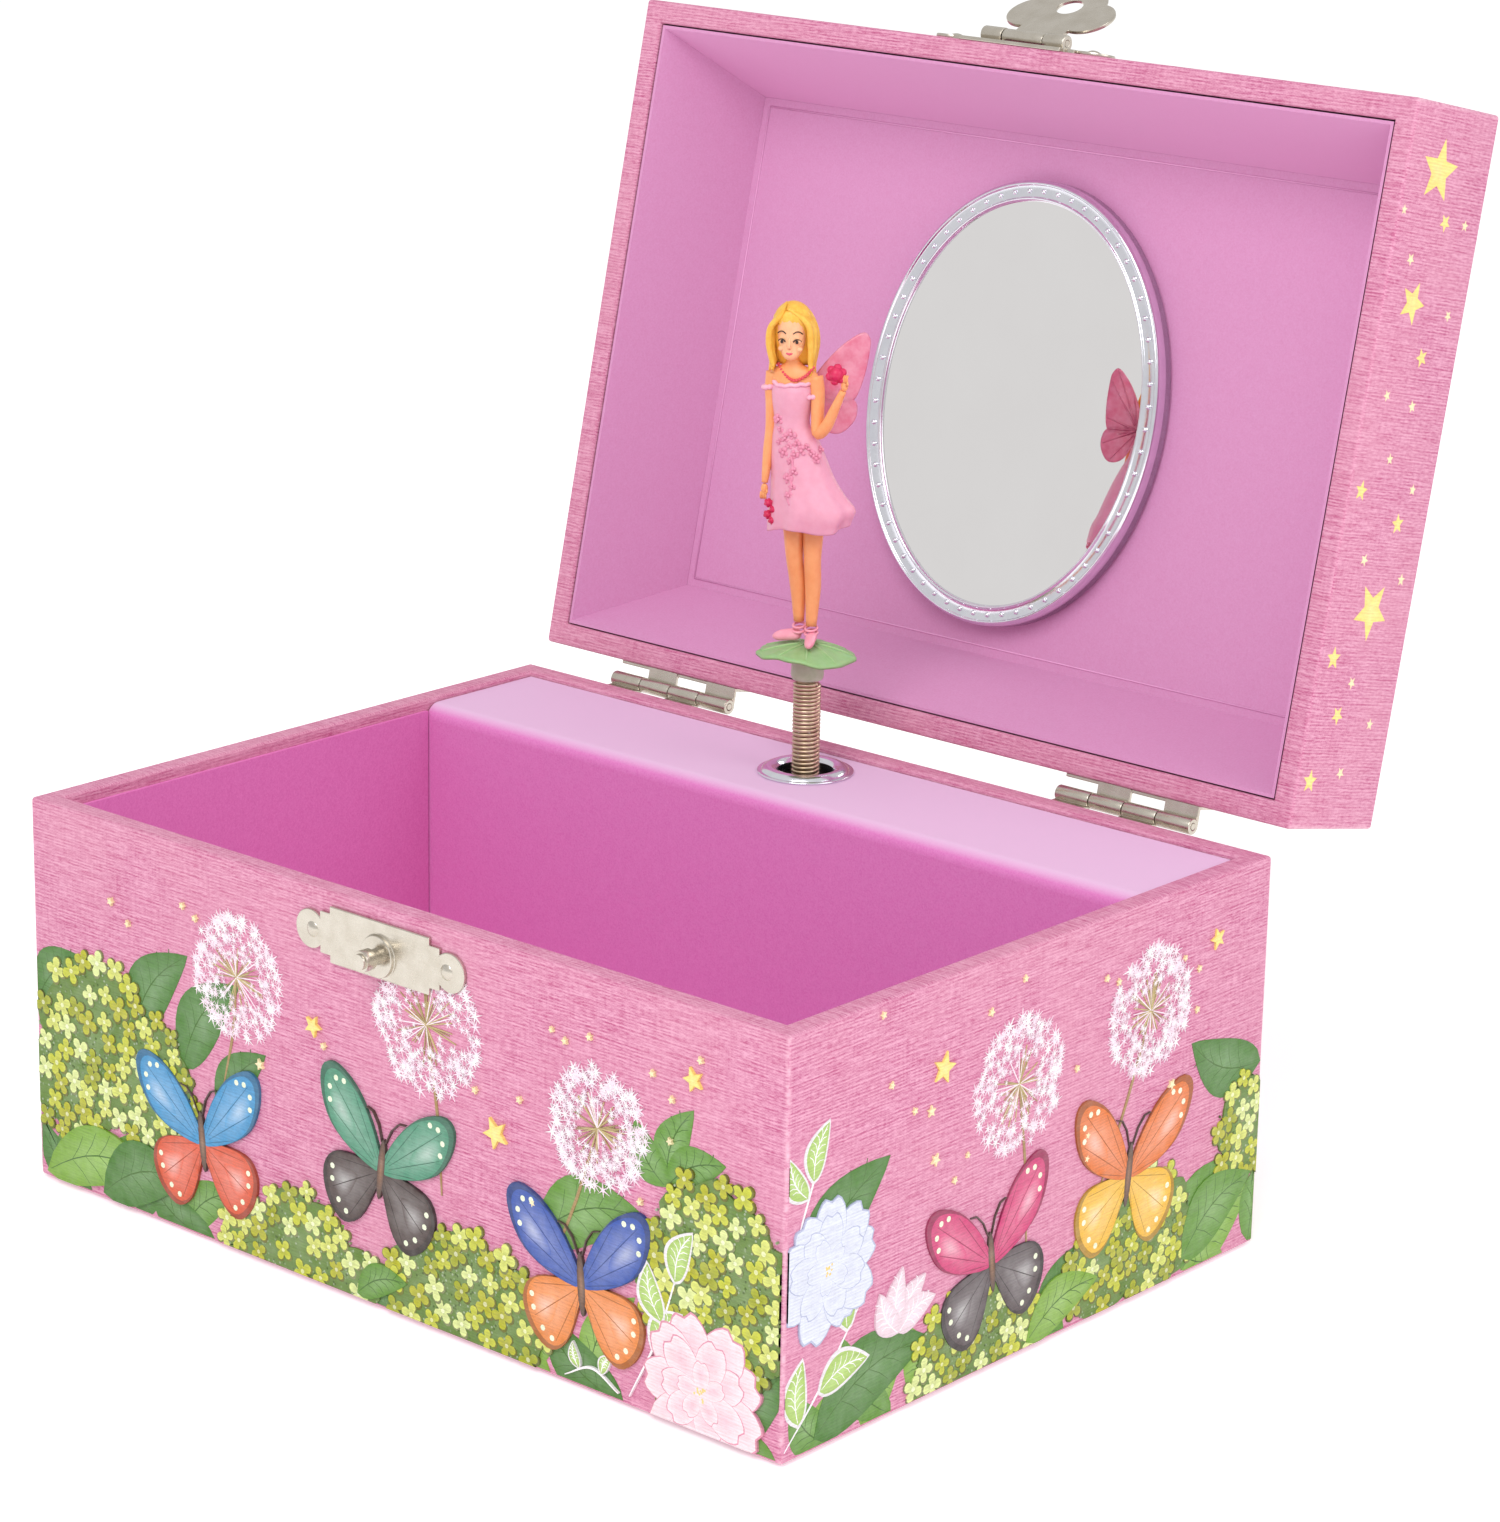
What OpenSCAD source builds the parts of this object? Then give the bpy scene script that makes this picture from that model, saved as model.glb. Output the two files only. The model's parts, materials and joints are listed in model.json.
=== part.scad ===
// Musical jewellery box with a spring-mounted dancing figure.
// Millimetres, +Z up, origin at the centre of the underside, front face towards -Y.
// The lid is drawn open, resting on the stop of its two hinges.

/* [Box] */
// Outer width of the box
box_w = 150; // [149:1:200]
// Outer depth of the box, front to back
box_d = 107; // [106:1:150]
// Height of the base up to its rim
base_h = 60.5; // [60:0.5:80]
// Height of the lid, rim to top
lid_h = 22.6; // [22:0.2:32]
// Thickness of the wall and floor boards
board_t = 3; // [2:0.1:4]
// Thickness of the printed paper wrap
paper_t = 0.3; // [0.2:0.05:0.5]
// Thickness of the lining card
lining_t = 0.6; // [0.4:0.1:1]
// Width of the paper turned in below each rim
turn_in = 6; // [3:0.5:12]
// Width of the paper turned under the floor
hem_w = 14; // [8:1:25]
// Angle of the open lid from closed
lid_open = 102.5; // [90:0.5:115]
// Gap between the closed rims
rim_gap = 0.2; // [0.1:0.1:0.5]

/* [Lid lining] */
// Thickness of the lining behind the recess floor
panel_t = 0.5; // [0.3:0.1:3]
// Inset of the recess floor from the outer face
recess_inset = 12.5; // [8:0.5:20]

/* [Hinges] */
// Distance of the hinge axis behind the back face
hinge_out = 3.1; // [2.2:0.1:5]
// Length of one hinge
hinge_l = 25; // [16:1:40]
// Distance of each hinge's middle from the box's middle
hinge_x = 46; // [30:1:60]
// Outer radius of the knuckles
knuckle_r = 1.25; // [1:0.05:2]
// Radius of the hinge and hasp pins
pin_r = 0.5; // [0.4:0.05:0.8]
// Number of knuckles on one hinge
knuckles = 4; // [4:2:6]

/* [Catch] */
// Width of the catch and hasp plates
plate_w = 33.5; // [26:0.5:44]
// Height of the catch and hasp plates
plate_h = 8.4; // [7:0.2:12]
// Distance of the catch knob below the base rim
knob_drop = 6.9; // [6:0.1:10]
// Radius of the catch knob
knob_r = 1.55; // [1.2:0.05:2.5]
// Angle of the resting hasp from hanging down
hasp_swing = 144; // [120:1:165]

/* [Mirror] */
// Width of the mirror frame
mirror_w = 57; // [40:1:70]
// Length of the mirror frame
mirror_l = 70.5; // [50:0.5:76]
// Mirror centre to the right of the lid's middle
mirror_x = 0.4; // [-4:0.1:4]
// Mirror centre behind the lid's middle
mirror_y = 1; // [-3:0.1:3]
// Width of the beaded mirror ring
mirror_ring = 3.6; // [2.5:0.1:6]
// Height of the mirror frame
mirror_h = 3.4; // [2:0.1:4]
// Thickness of the mirror glass
glass_t = 1.2; // [0.8:0.1:2]

/* [Mechanism cover] */
// Depth of the space behind the cover's front
cover_d = 24.2; // [24:0.1:32]
// Thickness of the cover board
cover_t = 2; // [1.5:0.1:2.5]
// Drop of the cover's top below the base rim
cover_drop = 0.8; // [0.5:0.1:2]

/* [Figure] */
// Sideways place of the figure's axis
figure_x = -3; // [-6:0.5:0]
// Distance of the figure's axis from the inner face of the back wall
figure_back = 10.2; // [9.8:0.1:12]
// Height of the lily leaf's rim above the base rim
leaf_up = 18.1; // [17:0.1:20]
// Radius of the lily leaf
leaf_r = 7.8; // [6:0.1:7.8]
// Outer radius of the coil spring
spring_r = 2.2; // [1.8:0.1:2.4]
// Wire diameter of the coil spring
wire_d = 0.55; // [0.4:0.05:0.6]
// Height of the dancing figure
figure_h = 53; // [40:1:54]
// Turn of the figure on its leaf
figure_turn = 16; // [-90:1:90]

/* [Movement] */
// Height of the music cylinder's axis
train_z = 30; // [28:0.5:34]
// Radius of the music cylinder
cylinder_r = 6.5; // [5:0.1:6.6]
// Number of notes
notes = 18; // [12:1:18]
// Distance between two notes
note_pitch = 1.3; // [1:0.05:1.3]
// Pins on each note's track
track_pins = 3; // [1:1:5]
// Gear module
gear_m = 0.6; // [0.5:0.02:0.62]
// Teeth on the cylinder gear and the crown wheel
gear_teeth = 24; // [20:4:24]
// Teeth on the cylinder pinion
pinion_teeth = 12; // [8:4:12]
// Teeth on the great wheel
great_teeth = 44; // [36:4:44]
// Teeth on the governor pinion
governor_teeth = 8; // [8:1:10]
// Gap between the mainspring housing and the end of the cylinder arbor
housing_gap = 1.2; // [0.5:0.1:3]
// Radius of the winding arbor
arbor_r = 2; // [1.5:0.1:2.5]
// Thickness of the bedplate
bed_t = 1.5; // [1:0.1:2]

/* [Fits] */
// Radial clearance of a running shaft
run_gap = 0.05; // [0.02:0.01:0.08]
// Gap between pieces that only pass each other
part_gap = 0.15; // [0.1:0.05:0.3]
// Gap between a screw or arbor and the hole it passes through in a board
hole_gap = 1; // [0.5:0.1:2]

/* [Hidden] */
$fn = 64;
small_fn = 24;
cut = 1;

// Walls, rims and faces
front_y = -box_d / 2;
back_y = box_d / 2;
side_x = box_w / 2;
wall_t = board_t + 2 * paper_t;
board_x = side_x - paper_t;
board_y = back_y - paper_t;
inner_x = side_x - wall_t;
inner_y = back_y - wall_t;
hem_z = paper_t;
board_z = 2 * paper_t;
rim_z = base_h - paper_t;
floor_z = board_z + board_t;
underside_inset = 2;

// Lid, drawn closed and then turned open about the hinge axis
lid_z = base_h + rim_gap;
lid_top = base_h + lid_h;
hinge_y = back_y + hinge_out;
hinge_z = base_h + rim_gap / 2;
recess_d = lid_h - paper_t - board_t - panel_t;
recess_z = base_h + recess_d;
side_lining_t = 0.5;
lining_gap = 0.25;
lining_drop = 0.5;
lining_top_drop = 1.8;

// Mirror, measured in the closed lid
mirror_pad_t = 0.6;
mirror_z = recess_z - mirror_pad_t;
glass_w = mirror_w - 2 * mirror_ring;
glass_l = mirror_l - 2 * mirror_ring;
glass_z = mirror_z - mirror_h + 0.7;
rebate = 0.8;
bevel = 0.5;

// Mechanism cover
cover_z = base_h - cover_drop;
cover_y = back_y - wall_t - cover_d;
cover_paper_t = 0.4;
cover_gap = 0.2;
cover_round = 2.4;
cover_in_y = cover_y + cover_paper_t + cover_t;

// Figure and spring
axis_y = board_y - board_t - figure_back;
leaf_z = base_h + leaf_up;
grommet_hole_r = 4.35;
grommet_barrel = 0.6;
grommet_flange_r = 7.5;
grommet_dome = 1.1;
spring_low = base_h - 3.2;
boss_z = leaf_z - 4.1;
spring_high = boss_z - part_gap;
coils = floor((spring_high - spring_low) / (wire_d + 0.1));
coil_pitch = (spring_high - spring_low) / coils;
post_r = spring_r - wire_d - run_gap;
ferrule_pin_r = 0.8;
ferrule_low = spring_high - 2.4;
ferrule_pin_l = 4;
leaf_crown = 1.6;
foot_z = leaf_z + leaf_crown;
doll_k = figure_h / 53;

// Movement, measured from the back wall board
bed_y = board_y - board_t;
bed_front = bed_y - bed_t;
pitch = PI * gear_m;
add = 0.75 * gear_m;
ded = 1.15 * gear_m;
gear_r = gear_teeth * gear_m / 2;
pinion_r = pinion_teeth * gear_m / 2;
great_r = great_teeth * gear_m / 2;
governor_r = governor_teeth * gear_m / 2;
gear_w = 2;
gear_x = figure_x - gear_r;
crown_pitch_z = train_z + gear_r;
crown_t = 1.5;
crown_z = crown_pitch_z + ded;
tooth_l = 2;
shaft_r = 1.2;
bearing_t = 1.7;
bearing_h = 2.6;
bearing_x = gear_x + gear_w / 2 + 0.9;
cylinder_l = notes * note_pitch;
cylinder_x1 = gear_x - gear_w / 2 - 1.7;
cylinder_x0 = cylinder_x1 - cylinder_l;
cylinder_wall = 1.3;
pin_h = 0.7;
cylinder_pin_r = 0.25;
left_bearing_x = cylinder_x0 - 0.6 - bearing_t;
pinion_x = left_bearing_x - 0.6 - gear_w / 2;
barrel_x = pinion_x - great_r;
great_pitch_y = axis_y + pinion_r;
great_t = 1.5;
great_y = great_pitch_y + ded;
great_rim = great_r + tooth_l / 2;
housing_r = great_r - gear_w / 2 - housing_gap;
housing_wall = 1;
housing_back = great_pitch_y - add;
housing_front = cover_in_y + 2.4;
lug_r = great_rim + 1.6;
lug_w = 5;
lug_t = 1.3;
lug_y = housing_back - 3.2;
bed_x0 = barrel_x - great_rim - 2.2;
bed_x1 = figure_x + 12;
bed_z0 = train_z - 22;
bed_z1 = train_z + 19;
tower_w = 8;
tower_z = train_z + 24;
spindle_r = 1;
spindle_tab_t = 1.6;
spindle_tab_z = [crown_z + crown_t + 3.4, tower_z - spindle_tab_t];
comb_gap = 0.15;
comb_t = 1.2;
comb_tip_z = train_z - cylinder_r - pin_h - comb_gap;
comb_root_z = train_z - 16;
comb_z = bed_z0 + 0.3;
comb_slot = 0.35;
comb_step = 0.12;
comb_x = (cylinder_x0 + cylinder_x1) / 2;
comb_screw_z = (comb_z + comb_root_z) / 2;
comb_screw_r = 1;
comb_screw_x = cylinder_l / 4;
governor_z = train_z - gear_r - governor_r;
worm_wheel_r = 5;
worm_wheel_teeth = 20;
worm_wheel_x = figure_x + 4;
worm_r = 1.5;
worm_core_r = 1;
worm_y = axis_y - worm_wheel_r - worm_r - part_gap;
worm_z0 = governor_z - 5.4;
worm_z1 = governor_z + 5.4;
worm_step = 1.5;
worm_shaft_r = 0.6;
worm_tab_t = 1.4;
worm_step_t = 0.4;
worm_low_z = worm_z0 - 1 - worm_tab_t;
worm_tab_z = governor_z + worm_wheel_r + 1.2;
fan_z = worm_tab_z + worm_tab_t + 0.7;
fan_h = crown_pitch_z - add - fan_z - 1.6;
fan_r = 4.2;
governor_shaft_r = 0.8;
post_x = worm_wheel_x + 2.4;
screw_r = 1.3;
screw_head_r = 2.6;
screw_head_t = 1.2;
movement_screw_at = [
    [bed_x0 + 3.6, train_z + 15.5],
    [bed_x0 + 3.6, train_z - 16.5],
    [bed_x1 - 4, train_z + 15]
];
key_y = back_y + 1;
key_sleeve_r = 3.2;
key_sleeve_l = 10;
key_t = 2;
key_lobe_r = 5.6;
key_lobe_x = 7;

// Hinge leaves
leaf_h = 11;
leaf_nail_x = hinge_l / 2 - 4.7;
leaf_nail_z = 8;

// Hasp and catch
hasp_y = front_y - 1.5;
hasp_z = lid_z + plate_h / 2 + 0.2;
metal_t = 0.6;
loop_r = 1.3;
curl_r = 1.2;
curl_l = 7.8;
slot_gap = 0.4;
knob_gap = 0.6;
loops_l = 16;
knob_z = base_h - knob_drop;
knob_shank_r = 1;
hasp_reach = hasp_z - knob_z;
nail_x = plate_w / 2 - 3.4;
nail_r = 0.5;
nail_head_r = 1.4;
nail_head_h = 0.42;
nail_flat = 1.3;
nail_l = 2.6;
catch_z = base_h - plate_h / 2 - 1.9;

// Basic helpers
module block(x0, x1, y0, y1, z0, z1) {
    translate([x0, y0, z0]) cube([x1 - x0, y1 - y0, z1 - z0]);
}

module rod_x(x0, x1, y, z, r, fn = $fn) {
    translate([x0, y, z]) rotate([0, 90, 0]) cylinder(h = x1 - x0, r = r, $fn = fn);
}

module rod_y(y0, y1, x, z, r, fn = $fn) {
    translate([x, y1, z]) rotate([90, 0, 0]) cylinder(h = y1 - y0, r = r, $fn = fn);
}

module rod_z(z0, z1, x, y, r, fn = $fn) {
    translate([x, y, z0]) cylinder(h = z1 - z0, r = r, $fn = fn);
}

// Turns what is drawn in the closed lid's place into the open lid's place
module opened() {
    translate([0, hinge_y, hinge_z]) rotate([-lid_open, 0, 0])
        translate([0, -hinge_y, -hinge_z]) children();
}

// A tray of wall thickness t open at the top: outer half sizes, heights and floor thickness
module tray(x, y, z0, z1, t, floor_t) {
    difference() {
        block(-x, x, -y, y, z0, z1);
        block(-x + t, x - t, -y + t, y - t, z0 + floor_t, z1 + cut);
    }
}

// Gear outline with narrow teeth, a tooth centred on the angle turn
function gear_points(teeth, turn) = [
    for (i = [0 : teeth - 1], k = [0 : 3])
        let (
            r0 = teeth * gear_m / 2,
            r = (k == 0 || k == 3) ? r0 - ded : r0 + add,
            half = (k == 0 || k == 3) ? 0.26 * pitch : 0.1 * pitch,
            side = (k < 2) ? -1 : 1,
            a = turn + i * 360 / teeth + side * half / r0 * 180 / PI
        )
        [r * cos(a), r * sin(a)]
];

// Spur gear on the X axis, outline angles counted from +Y towards +Z
module spur_gear(teeth, x0, x1, y, z, turn) {
    translate([x0, y, z]) rotate([90, 0, 90]) linear_extrude(height = x1 - x0)
        polygon(gear_points(teeth, turn));
}

// Ring of face teeth that stand down from z = 0 on a wheel about the Z axis
module face_teeth(teeth, turn) {
    wide = 0.3 * pitch;
    for (i = [0 : teeth - 1])
        rotate([0, 0, turn + (i + 0.5) * 360 / teeth])
            translate([teeth * gear_m / 2 - tooth_l / 2, -wide / 2, -add - ded])
                cube([tooth_l, wide, add + ded + 0.2]);
}

// ---------- Base case ----------
module floor_board() {
    color("tan") block(-board_x + board_t, board_x - board_t, -board_y + board_t, board_y - board_t,
        board_z, floor_z);
}

module front_wall() {
    color("tan") block(-board_x, board_x, -board_y, -board_y + board_t, board_z, rim_z);
}

module back_wall() {
    color("tan") difference() {
        block(-board_x, board_x, board_y - board_t, board_y, board_z, rim_z);
        back_holes();
    }
}

module side_wall(side) {
    x0 = side < 0 ? -board_x : board_x - board_t;
    color("tan") block(x0, x0 + board_t, -board_y + board_t, board_y - board_t, board_z, rim_z);
}

module left_wall() { side_wall(-1); }

module right_wall() { side_wall(1); }

module back_holes() {
    rod_y(board_y - board_t - cut, back_y + cut, barrel_x, train_z, arbor_r + hole_gap);
    for (p = movement_screw_at)
        rod_y(board_y - board_t - cut, back_y + cut, p[0], p[1], screw_r, small_fn);
}

module base_wrap() {
    color("hotpink") difference() {
        block(-side_x, side_x, front_y, back_y, hem_z, base_h);
        block(-board_x, board_x, -board_y, board_y, board_z, rim_z);
        block(-inner_x, inner_x, -inner_y, inner_y, rim_z - cut, base_h + cut);
        block(-side_x + hem_w, side_x - hem_w, front_y + hem_w, back_y - hem_w, 0, board_z + cut);
        back_holes();
    }
    color("hotpink") difference() {
        block(-inner_x - paper_t, inner_x + paper_t, -inner_y - paper_t, inner_y + paper_t,
            rim_z - turn_in, base_h);
        block(-inner_x, inner_x, -inner_y, inner_y, rim_z - turn_in - cut, base_h + cut);
    }
}

module underside_paper() {
    color("pink") block(-side_x + underside_inset, side_x - underside_inset,
        front_y + underside_inset, back_y - underside_inset, 0, hem_z);
}

module side_lining() {
    top = base_h - lining_top_drop;
    color("orchid") difference() {
        block(-inner_x, inner_x, -inner_y, cover_y - cover_gap, floor_z, top);
        block(-inner_x + lining_t, inner_x - lining_t, -inner_y + lining_t, cover_y,
            floor_z - cut, top + cut);
    }
}

module floor_lining() {
    color("orchid") block(-inner_x + lining_t, inner_x - lining_t, -inner_y + lining_t,
        cover_y - cover_gap, floor_z, floor_z + lining_t);
}

// Side outline of a folded sheet from its top front corner, with a rounded fold
module fold_outline(y0, z1, round_r) {
    translate([y0 + round_r, floor_z - cut]) square([box_d, z1 - floor_z + cut]);
    translate([y0, floor_z - cut]) square([round_r + cut, z1 - floor_z + cut - round_r]);
    translate([y0 + round_r, z1 - round_r]) circle(r = round_r);
}

// Side outline of the folded cover, thickness t inside its outer face
module cover_outline(y0, z1, t, round_r) {
    inner_round = max(round_r - t, 0.05);
    intersection() {
        difference() {
            fold_outline(y0, z1, round_r);
            fold_outline(y0 + t, z1 - t, inner_round);
        }
        translate([y0, floor_z]) square([inner_y - cover_gap - y0, z1]);
    }
}

module cover_panel(y0, z1, t, round_r) {
    x = inner_x - cover_gap;
    difference() {
        translate([-x, 0, 0]) rotate([90, 0, 90]) linear_extrude(height = 2 * x)
            cover_outline(y0, z1, t, round_r);
        rod_z(z1 - t - cut, z1 + cut, figure_x, axis_y, grommet_hole_r + grommet_barrel);
    }
}

module cover_board() {
    color("tan") cover_panel(cover_y + cover_paper_t, cover_z - cover_paper_t, cover_t,
        cover_round - cover_paper_t);
}

module cover_lining() {
    color("plum") cover_panel(cover_y, cover_z, cover_paper_t, cover_round);
}

module grommet() {
    skirt = cover_t + cover_paper_t + 0.4;
    rim_t = 0.4;
    dome_r = 1.5;
    dome_x = (grommet_hole_r + grommet_flange_r) / 2 - 0.3;
    color("silver") translate([figure_x, axis_y, cover_z]) rotate_extrude() {
        translate([grommet_hole_r, -skirt]) square([grommet_barrel, skirt]);
        translate([grommet_hole_r, 0]) square([grommet_flange_r - grommet_hole_r - rim_t / 2, rim_t]);
        translate([grommet_flange_r - rim_t / 2, rim_t / 2]) circle(r = rim_t / 2);
        intersection() {
            translate([dome_x, grommet_dome - dome_r]) circle(r = dome_r);
            translate([grommet_hole_r, 0]) square([grommet_flange_r - grommet_hole_r, grommet_dome]);
        }
    }
}

// ---------- Catch ----------
// Long stamped plate about its middle: broad body, stepped shoulders and round ends
module plate_outline() {
    end_r = 2.9;
    shoulder_w = 2;
    shoulder_h = 1.1;
    body_w = 2 * nail_x - 7;
    square([body_w + 2 * shoulder_w, plate_h - 2 * shoulder_h], center = true);
    square([body_w, plate_h], center = true);
    for (side = [-1, 1]) translate([side * (plate_w / 2 - end_r), 0]) circle(r = end_r);
}

module face_plate(y, z) {
    translate([0, y, z]) rotate([90, 0, 0]) linear_extrude(height = metal_t) plate_outline();
}

module catch_plate() {
    boss_r = 3.1;
    boss_h = 0.6;
    color("silver") difference() {
        union() {
            face_plate(front_y, catch_z);
            rod_y(front_y - metal_t - boss_h, front_y - metal_t / 2, 0, knob_z, boss_r);
        }
        for (side = [-1, 1])
            rod_y(front_y - metal_t - cut, front_y + cut, side * nail_x, catch_z, nail_r, small_fn);
        rod_y(front_y - metal_t - boss_h - cut, front_y + cut, 0, knob_z, knob_shank_r);
    }
}

module catch_knob() {
    shank_l = 1.2;
    neck_l = 1.2;
    neck_in = 0.35;
    head_l = 1.8;
    rim_l = 0.4;
    color("silver") translate([0, front_y, knob_z]) rotate([90, 0, 0]) rotate_extrude() {
        square([knob_shank_r, shank_l]);
        translate([0, shank_l]) square([knob_r - neck_in, neck_l]);
        translate([0, shank_l + neck_l]) square([knob_r, head_l]);
        translate([0, shank_l + neck_l + head_l]) square([knob_r - rim_l, rim_l]);
    }
}

// Small round-headed nail driven in along +Y at the origin
module nail() {
    rotate([-90, 0, 0]) cylinder(h = nail_l, r = nail_r, $fn = small_fn);
    rotate([90, 0, 0]) cylinder(h = metal_t, r = nail_r, $fn = small_fn);
    translate([0, -metal_t, 0]) intersection() {
        translate([0, nail_head_r * nail_flat - nail_head_h, 0])
            sphere(r = nail_head_r * nail_flat, $fn = small_fn);
        translate([-nail_head_r, -nail_head_h, -nail_head_r])
            cube([2 * nail_head_r, nail_head_h, 2 * nail_head_r]);
    }
}

module catch_nails() {
    color("silver") for (side = [-1, 1])
        translate([side * nail_x, front_y, catch_z]) nail();
}

// ---------- Hinges ----------
// One hinge leaf drawn for the lid (up = 1) or the base (up = -1), about the hinge axis
module hinge_leaf(x, up) {
    step = hinge_l / knuckles;
    bore = up > 0 ? pin_r + run_gap : pin_r;
    low = knuckle_r - metal_t;
    color("silver") translate([x, hinge_y, hinge_z]) difference() {
        union() {
            block(-hinge_l / 2, hinge_l / 2, -hinge_out, -hinge_out + metal_t,
                up > 0 ? knuckle_r - metal_t / 2 : -knuckle_r - leaf_h,
                up > 0 ? knuckle_r + leaf_h : metal_t / 2 - knuckle_r);
            for (i = [0 : knuckles - 1]) if ((i % 2 == 0) == (up < 0)) {
                x0 = -hinge_l / 2 + i * step + (i == 0 ? 0 : part_gap / 2);
                x1 = -hinge_l / 2 + (i + 1) * step - (i == knuckles - 1 ? 0 : part_gap / 2);
                rod_x(x0, x1, 0, 0, knuckle_r);
                block(x0, x1, -hinge_out, 0, up > 0 ? low : -knuckle_r, up > 0 ? knuckle_r : -low);
            }
        }
        rod_x(-hinge_l, hinge_l, 0, 0, bore, small_fn);
        for (side = [-1, 1])
            rod_y(-hinge_out - cut, -hinge_out + metal_t + cut, side * leaf_nail_x, up * leaf_nail_z,
                nail_r, small_fn);
    }
}

module hinge_left_base_leaf() { hinge_leaf(-hinge_x, -1); }

module hinge_right_base_leaf() { hinge_leaf(hinge_x, -1); }

module hinge_left_lid_leaf() { opened() hinge_leaf(-hinge_x, 1); }

module hinge_right_lid_leaf() { opened() hinge_leaf(hinge_x, 1); }

module hinge_pins() {
    half = hinge_l / 2;
    color("silver") for (x = [-hinge_x, hinge_x])
        rod_x(x - half, x + half, hinge_y, hinge_z, pin_r, small_fn);
}

module hinge_nails(up) {
    for (side = [-1, 1], s = [-1, 1])
        translate([side * hinge_x + s * leaf_nail_x, back_y, hinge_z + up * leaf_nail_z])
            rotate([0, 0, 180]) nail();
}

module hinge_base_nails() { color("silver") hinge_nails(-1); }

module hinge_lid_nails() { color("silver") opened() hinge_nails(1); }

// ---------- Lid case ----------
module lid_top_board() {
    color("tan") opened() block(-board_x, board_x, -board_y, board_y, lid_top - paper_t - board_t,
        lid_top - paper_t);
}

module lid_wall(x0, x1, y0, y1) {
    color("tan") opened() block(x0, x1, y0, y1, lid_z + paper_t, lid_top - paper_t - board_t);
}

module lid_front_wall() { lid_wall(-board_x, board_x, -board_y, -board_y + board_t); }

module lid_back_wall() { lid_wall(-board_x, board_x, board_y - board_t, board_y); }

module lid_left_wall() { lid_wall(-board_x, -board_x + board_t, -board_y + board_t, board_y - board_t); }

module lid_right_wall() { lid_wall(board_x - board_t, board_x, -board_y + board_t, board_y - board_t); }

module lid_wrap() {
    color("hotpink") opened() {
        difference() {
            block(-side_x, side_x, front_y, back_y, lid_z, lid_top);
            block(-board_x, board_x, -board_y, board_y, lid_z + paper_t, lid_top - paper_t);
            block(-inner_x, inner_x, -inner_y, inner_y, lid_z - cut, lid_top - board_t);
        }
        difference() {
            block(-inner_x - paper_t, inner_x + paper_t, -inner_y - paper_t, inner_y + paper_t,
                lid_z, lid_z + turn_in);
            block(-inner_x, inner_x, -inner_y, inner_y, lid_z - cut, lid_z + turn_in + cut);
        }
    }
}

// Space inside the lid, wide at the rim and narrowed to the recess floor, made larger all round by grow
module recess_solid(grow) {
    x0 = inner_x - lining_gap - side_lining_t + grow;
    y0 = inner_y - lining_gap - side_lining_t + grow;
    x1 = side_x - recess_inset + grow;
    y1 = back_y - recess_inset + grow;
    z0 = lid_z + lining_drop;
    lip = 0.01;
    hull() {
        block(-x0, x0, -y0, y0, z0, z0 + lip);
        block(-x1, x1, -y1, y1, recess_z - lip, recess_z);
    }
}

module lid_side_lining() {
    color("orchid") opened() difference() {
        recess_solid(side_lining_t);
        recess_solid(0);
        block(-side_x + recess_inset, side_x - recess_inset, front_y + recess_inset, back_y - recess_inset,
            recess_z - cut, recess_z + cut);
        translate([0, 0, -0.01]) intersection() {
            recess_solid(0);
            block(-side_x, side_x, front_y, back_y, lid_z, lid_z + lining_drop + cut);
        }
    }
}

module lid_panel_lining() {
    x = side_x - recess_inset + side_lining_t;
    y = back_y - recess_inset + side_lining_t;
    color("plum") opened() block(-x, x, -y, y, recess_z, recess_z + panel_t);
}

// ---------- Mirror ----------
function ellipse_points(a, b, n) = [for (i = [0 : n - 1]) [a * cos(i * 360 / n), b * sin(i * 360 / n)]];

module ellipse_plate(w, l, z0, z1) {
    sides = 72;
    translate([mirror_x, mirror_y, z0]) linear_extrude(height = z1 - z0)
        polygon(ellipse_points(w / 2, l / 2, sides));
}

module mirror_frame() {
    color("gainsboro") opened() difference() {
        union() {
            ellipse_plate(mirror_w, mirror_l, mirror_z - mirror_h + bevel, mirror_z);
            ellipse_plate(mirror_w - 2 * bevel, mirror_l - 2 * bevel, mirror_z - mirror_h,
                mirror_z - mirror_h + bevel);
        }
        ellipse_plate(glass_w, glass_l, mirror_z - mirror_h - cut, mirror_z + cut);
        ellipse_plate(glass_w + 2 * rebate, glass_l + 2 * rebate, glass_z, mirror_z + cut);
    }
}

module mirror_glass() {
    color("white") opened() ellipse_plate(glass_w + 2 * rebate, glass_l + 2 * rebate,
        glass_z, glass_z + glass_t);
}

module mirror_pad() {
    color("ivory") opened() difference() {
        ellipse_plate(mirror_w - 2, mirror_l - 2, mirror_z, recess_z);
        ellipse_plate(glass_w - 6, glass_l - 6, mirror_z - cut, recess_z + cut);
    }
}

// ---------- Hasp ----------
module hasp_loops() {
    for (side = [-1, 1]) {
        x0 = side < 0 ? -loops_l / 2 : curl_l / 2 + part_gap;
        rod_x(x0, x0 + (loops_l - curl_l) / 2 - part_gap, hasp_y, hasp_z, loop_r);
    }
}

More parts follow.
